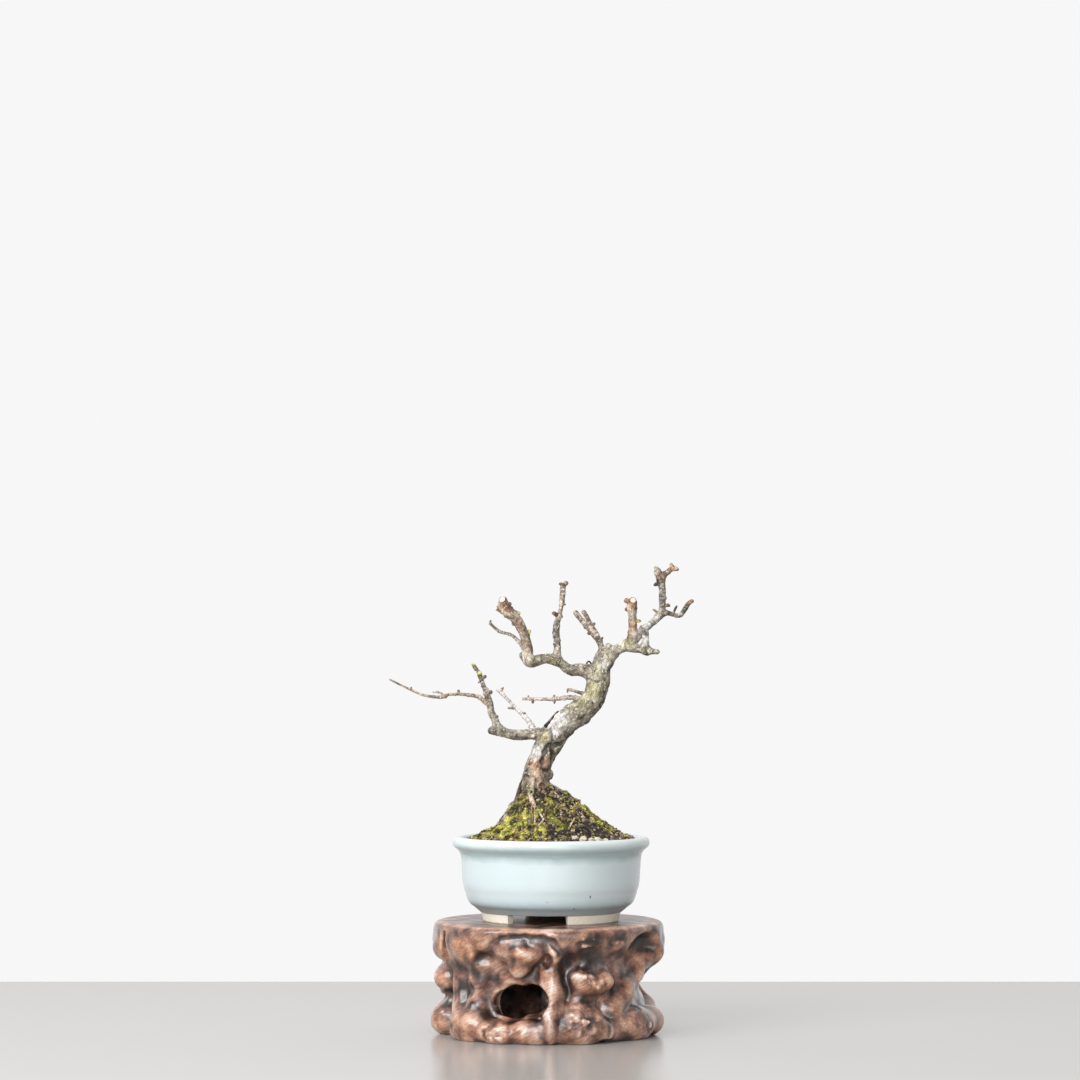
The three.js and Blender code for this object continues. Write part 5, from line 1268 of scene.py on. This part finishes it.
# Fired clay and pumice soil mix: damp dark grey-brown grit with a few paler and rusty grains, matt and
# porous.
grit_soil, tree, shader = finish("gritty_bonsai_soil", Roughness=0.92)
place = add(tree, "ShaderNodeTexCoord", out="Object")
tint_value = add(tree, "ShaderNodeAttribute", out="Fac", attribute_name="tint")
dust = add(tree, "ShaderNodeTexNoise", {"Vector": place, "Scale": 700, "Detail": 4})
spread = add(tree, "ShaderNodeMath", {0: dust, 1: 0.35, 2: tint_value}, operation="MULTIPLY_ADD")
shade = add(tree, "ShaderNodeMapRange", {"Value": spread, "From Max": 1.3})
SOIL = [
    (0.1, "#1a1613"), (1, "#ebe3d2"), (0.32, "#3a3029"), (0.55, "#6e6051"), (0.72, "#8f7558"),
    (0.88, "#b3a68f"),
]
tint = add(tree, "ShaderNodeValToRGB", {"Fac": shade}, stops=SOIL)
tree.links.new(tint, shader.inputs["Base Color"])
pores = add(tree, "ShaderNodeBump", {"Height": dust, "Strength": 0.7, "Distance": 0.0005})
tree.links.new(pores, shader.inputs["Normal"])
make_piece("soil_and_granules", crumb_points, crumb_faces, grit_soil, "soil", "soil_mound", values=crumb_tint)

# The moss
# Cushions of short living moss pressed on the soil, yellow-green where they are lit, each a pad of soft
# shoots up to 1.6 mm tall.
MOSS = {
    "moss_left_slope": [-24, -14, 12, 8, 60, 3],
    "moss_front_slope": [-19, -26, 11, 8, 20, 3.2],
    "moss_front_foot": [-13, -36.5, 13, 5, 3, 2.6],
    "moss_middle": [-2, -19, 4.5, 9, 10, 2.2],
    "moss_small_tuft": [5, -31, 5, 4, 0, 2],
    "moss_right_crest": [15, -2, 8, 5.5, -25, 2.4],
    "moss_right_slope": [26, -12, 9, 5.5, -30, 2.2],
    "moss_back_left": [-20, 20, 13, 9, -40, 3],
    "moss_back_right": [12, 22, 13, 8, 25, 2.6],
    "moss_left_foot": [-36, -8, 6, 11, 0, 2],
}
PAD_SIDES = 72
PAD_RINGS = 22
SHOOT_SPACING = 0.5
SHOOT_LEAVES = 5
LEAF_HALF_WIDTH = 0.17

# Living moss: translucent yellow-green leaf tips over a darker olive base, the base partly painted shade.
moss_green, tree, shader = finish("living_moss", Roughness=0.7, Subsurface_Weight=0.15, Subsurface_Scale=0.001)
place = add(tree, "ShaderNodeTexCoord", out="Object")
tint_value = add(tree, "ShaderNodeAttribute", out="Fac", attribute_name="tint")
patch = add(tree, "ShaderNodeTexNoise", {"Vector": place, "Scale": 230, "Detail": 3})
spread = add(tree, "ShaderNodeMath", {0: patch, 1: 2.4, 2: tint_value}, operation="MULTIPLY_ADD")
shade = add(tree, "ShaderNodeMapRange", {"Value": spread, "From Min": 0.98, "From Max": 2.15})
MOSS_GREENS = [(0.05, "#2b2413"), (0.97, "#fbf4a6"), (0.28, "#5c5826"), (0.5, "#a3a348"), (0.74, "#dcd66e")]
tint = add(tree, "ShaderNodeValToRGB", {"Fac": shade}, stops=MOSS_GREENS)
dry = add(tree, "ShaderNodeTexNoise", {"Vector": place, "Scale": 160, "Detail": 2, "Distortion": 0.4})
browned = add(tree, "ShaderNodeMapRange", {"Value": dry, "From Min": 0.52, "From Max": 0.64, "To Max": 0.8})
straw = add(tree, "ShaderNodeValToRGB", {"Fac": shade}, stops=[(0.15, "#3d2c1e"), (0.85, "#d8ae7c")])
tint = add(tree, "ShaderNodeMix", {0: browned, 6: tint, 7: straw}, **BLENDED)
tree.links.new(tint, shader.inputs["Base Color"])


def pad_spot(cushion, share, b, seed):
    """The place at an angle and at a share of the way from a cushion's middle to its wavy outline."""
    cx, cy, long, wide, turn = cushion[:5]
    a = math.radians(turn)
    ring = np.stack([2 * np.cos(b), 2 * np.sin(b), b * 0], -1)
    wobble = share * (1 + 0.2 * noise(ring, seed))
    u, v = long * wobble * np.cos(b), wide * wobble * np.sin(b)
    return cx + u * math.cos(a) - v * math.sin(a), cy + u * math.sin(a) + v * math.cos(a)


def pad_gap(x, y, seed):
    """How bare the soil is between the tufts of a cushion, from 0 to 1."""
    flat = np.stack([x, y, x * 0], -1)
    return np.clip(2.1 * noise(flat / 3.4, seed + 90) + 1.1 * noise(flat / 1.6, seed + 120) + 0.02, 0, 1)


def pad_height(cushion, x, y, share, seed):
    flat = np.stack([x, y, x * 0], -1)
    tufts = 1 + 0.35 * noise(flat / 2.5, seed) + 0.15 * noise(flat / 1.1, seed + 60)
    rise = np.interp(share, [0, 0.35, 0.7, 1], [1.05, 1, 0.95, 0.5]) * cushion[5]
    return mound_height(x, y) + rise * tufts * (1 - pad_gap(x, y, seed)) - 0.7


def moss_pad(cushion, seed):
    b = 2 * np.pi * np.arange(PAD_SIDES) / PAD_SIDES
    x, y = pad_spot(cushion, 0.95, b, seed)
    rings = [np.column_stack([x, y, mound_height(x, y) - 2])]
    for share in np.linspace(1, 0.04, PAD_RINGS):
        x, y = pad_spot(cushion, share, b, seed)
        rings.append(np.column_stack([x, y, pad_height(cushion, x, y, share, seed)]))
    points, faces = tube(rings, rings[0].mean(0), rings[-1].mean(0))
    return points, faces, {"tint": np.full(len(points), 0.15)}


def shoots_at(base, lean, seed):
    """A little star of pointed leaves at each place, paler at the tips and on the tufts and darker low down
    and between them, partly their own colour and partly painted shade.
    """
    count = len(base)
    rise = 0.35 * rng.normal(size=(count, 3)) + lean
    rise /= np.linalg.norm(rise, axis=1, keepdims=True)
    side = np.cross(rise, [0.6, 0.8, 0])
    side /= np.linalg.norm(side, axis=1, keepdims=True)
    other = np.cross(rise, side)
    tuft = np.clip(0.5 + 1.1 * noise(base * [1, 1, 0] / 2.1, seed + 150), 0, 1)
    tall = (0.6 + 0.5 * tuft + rng.uniform(0, 0.5, count))[:, None]
    start, shade = rng.uniform(0, 2 * np.pi, count), tuft * rng.uniform(0.5, 1, count)
    leaves, tints = [], []
    for leaf in range(SHOOT_LEAVES):
        t = (start + leaf * 2 * np.pi / SHOOT_LEAVES)[:, None]
        out = np.cos(t) * side + np.sin(t) * other
        across = LEAF_HALF_WIDTH * np.cross(rise, out)
        root, middle = base + 0.25 * tall * rise, base + tall * (0.62 * rise + 0.2 * out)
        tip = base + tall * (rise + 0.55 * out)
        leaves.append(np.stack([root, middle - across, tip, middle + across], 1))
        # Painted shade, in part: each leaf is darker at its root than at its tip, and darker away from the
        # tufts.
        edge = 0.1 + 0.5 * shade
        tints.append(np.stack([0.1 * shade, edge, 0.2 + 0.9 * shade, edge], 1))
    index = 4 * np.arange(count * SHOOT_LEAVES)[:, None]
    faces = np.concatenate([index + [0, 1, 2], index + [0, 2, 3]])
    return np.concatenate(leaves).reshape(-1, 3), faces, {"tint": np.concatenate(tints).ravel()}


def moss_shoots(cushion, seed):
    """The shoots all over a cushion, leaning outwards at its rim."""
    cx, cy, long, wide = cushion[:4]
    count = int(math.pi * long * wide / SHOOT_SPACING**2)
    share, b = np.sqrt(rng.uniform(0, 1, count)), rng.uniform(0, 2 * np.pi, count)
    x, y = pad_spot(cushion, share, b, seed)
    kept = pad_gap(x, y, seed) < rng.uniform(0.1, 0.8, count)
    share, x, y = share[kept], x[kept], y[kept]
    base = np.column_stack([x, y, pad_height(cushion, x, y, share, seed) - 0.2])
    return shoots_at(base, np.column_stack([(x - cx) / long, (y - cy) / wide, x * 0 + 2]) / 2, seed)


for seed, (name, cushion) in enumerate(MOSS.items()):
    points, faces, values = merge([moss_pad(cushion, seed + 30), moss_shoots(cushion, seed + 30)])
    make_piece(name + "_shoots", points, faces, moss_green, "moss", name, values=values)

# Between the cushions single shoots and small tufts have seeded themselves, thinly at the front right.
LOOSE_SHOOTS = 9000
spots = soil_spots(LOOSE_SHOOTS, 0.14, 0.93)
wet = noise(spots * [1, 1, 0] / 3.2, 171) + 0.5 * noise(spots * [1, 1, 0] / 1.4, 172)
dry = np.clip((spots[:, 0] - 4) / 22, 0, 1) * np.clip((-14 - spots[:, 1]) / 14, 0, 1)
spots = spots[wet > 0.22 + 0.7 * dry]
points, faces, values = shoots_at(spots, np.array([0, 0, 1.0]), 9)
make_piece("loose_moss_shoots", points, faces, moss_green, "moss", "soil_mound", values=values)

# The wires
# What is left of the ties that held the tree while it rooted: annealed wire with a black coating, its ends
# buried in the soil or the bark.
WIRES = {
    "anchor_wire": [
        [13, -33, 106, 0.8], [13.4, -34, 114, 0.8], [14.5, -34.5, 117.4, 0.8], [17, -35, 118.6, 0.8],
        [19.8, -35, 117.6, 0.8], [21.4, -34.5, 114.5, 0.8], [21.8, -34, 106, 0.8],
    ],
    "trunk_wire_stub": [
        [7, -1, 180, 0.6], [4.2, -4.4, 181.9, 0.7], [1.8, -4.9, 179.8, 0.7], [-0.2, -5.3, 177.3, 0.8],
        [-2.2, -4.8, 175, 1], [-3.4, -4.1, 173.7, 1.1],
    ],
    "crotch_wire_loop": [
        [21.4, 1, 205, 0.5], [20.4, 1, 209, 0.5], [21.2, 1, 210.6, 0.5], [22.6, 1, 209.8, 0.5],
        [23.4, 1, 206, 0.5],
    ],
}
# Black polymer coating on the wire: satin, with dull scuffs a millimetre long.
coated_wire, tree, shader = finish("black_coated_wire", Roughness=0.2)
place = add(tree, "ShaderNodeTexCoord", out="Object")
scuff = add(tree, "ShaderNodeTexNoise", {"Vector": place, "Scale": 900, "Detail": 3})
tint = add(tree, "ShaderNodeValToRGB", {"Fac": scuff}, stops=[(0.4, "#0f0f10"), (0.72, "#34322f")])
tree.links.new(tint, shader.inputs["Base Color"])
for name, route in WIRES.items():
    points, faces, _ = swept(smooth_route(route, 0.5), 14, dome=0.3)
    make_piece(name + "_coated", points, faces, coated_wire, "black_wire", name)

# The pumice
# Five pale grains of washed volcanic pumice, sieved to 3 to 4 mm and strewn on the front of the soil, just
# inside the pot's lip.
GRAINS = [[13.2, -41.5, 1.9], [17.8, -42.2, 2.1], [22, -41, 1.6], [26, -39.2, 2.1], [30.2, -37, 1.6]]
# Washed pumice: chalky cream stone, pitted with gas bubbles of about 0.7 mm.
pumice, tree, shader = finish("washed_pumice", Roughness=0.9)
place = add(tree, "ShaderNodeTexCoord", out="Object")
holes = add(tree, "ShaderNodeTexVoronoi", {"Vector": place, "Scale": 1400})
# The pits are painted darker than the stone around them: painted shade inside the bubbles.
CHALK = [(0.05, "#5f5546"), (0.55, "#cfc6b2"), (0.22, "#a89c85")]
tint = add(tree, "ShaderNodeValToRGB", {"Fac": holes}, stops=CHALK)
tree.links.new(tint, shader.inputs["Base Color"])
pits = add(tree, "ShaderNodeBump", {"Height": holes, "Strength": 0.8, "Distance": 0.0004})
tree.links.new(pits, shader.inputs["Normal"])
for seed, (x, y, r) in enumerate(GRAINS):
    points, faces = finer(*finer(*finer(*ball())))
    dent = 1 + 0.3 * noise(points * 1.3 + [5, 0, 0], seed + 50) + 0.12 * noise(points * 3, seed + 70)
    lift = mound_height(np.array([x]), np.array([y]))[0] + 0.62 * r
    points = points * dent[:, None] * r * [1, 1, 0.8] + [x, y, lift]
    make_piece(f"pumice_{seed + 1}", points, faces, pumice, "pumice", f"pumice_grain_{seed + 1}")

low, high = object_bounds()
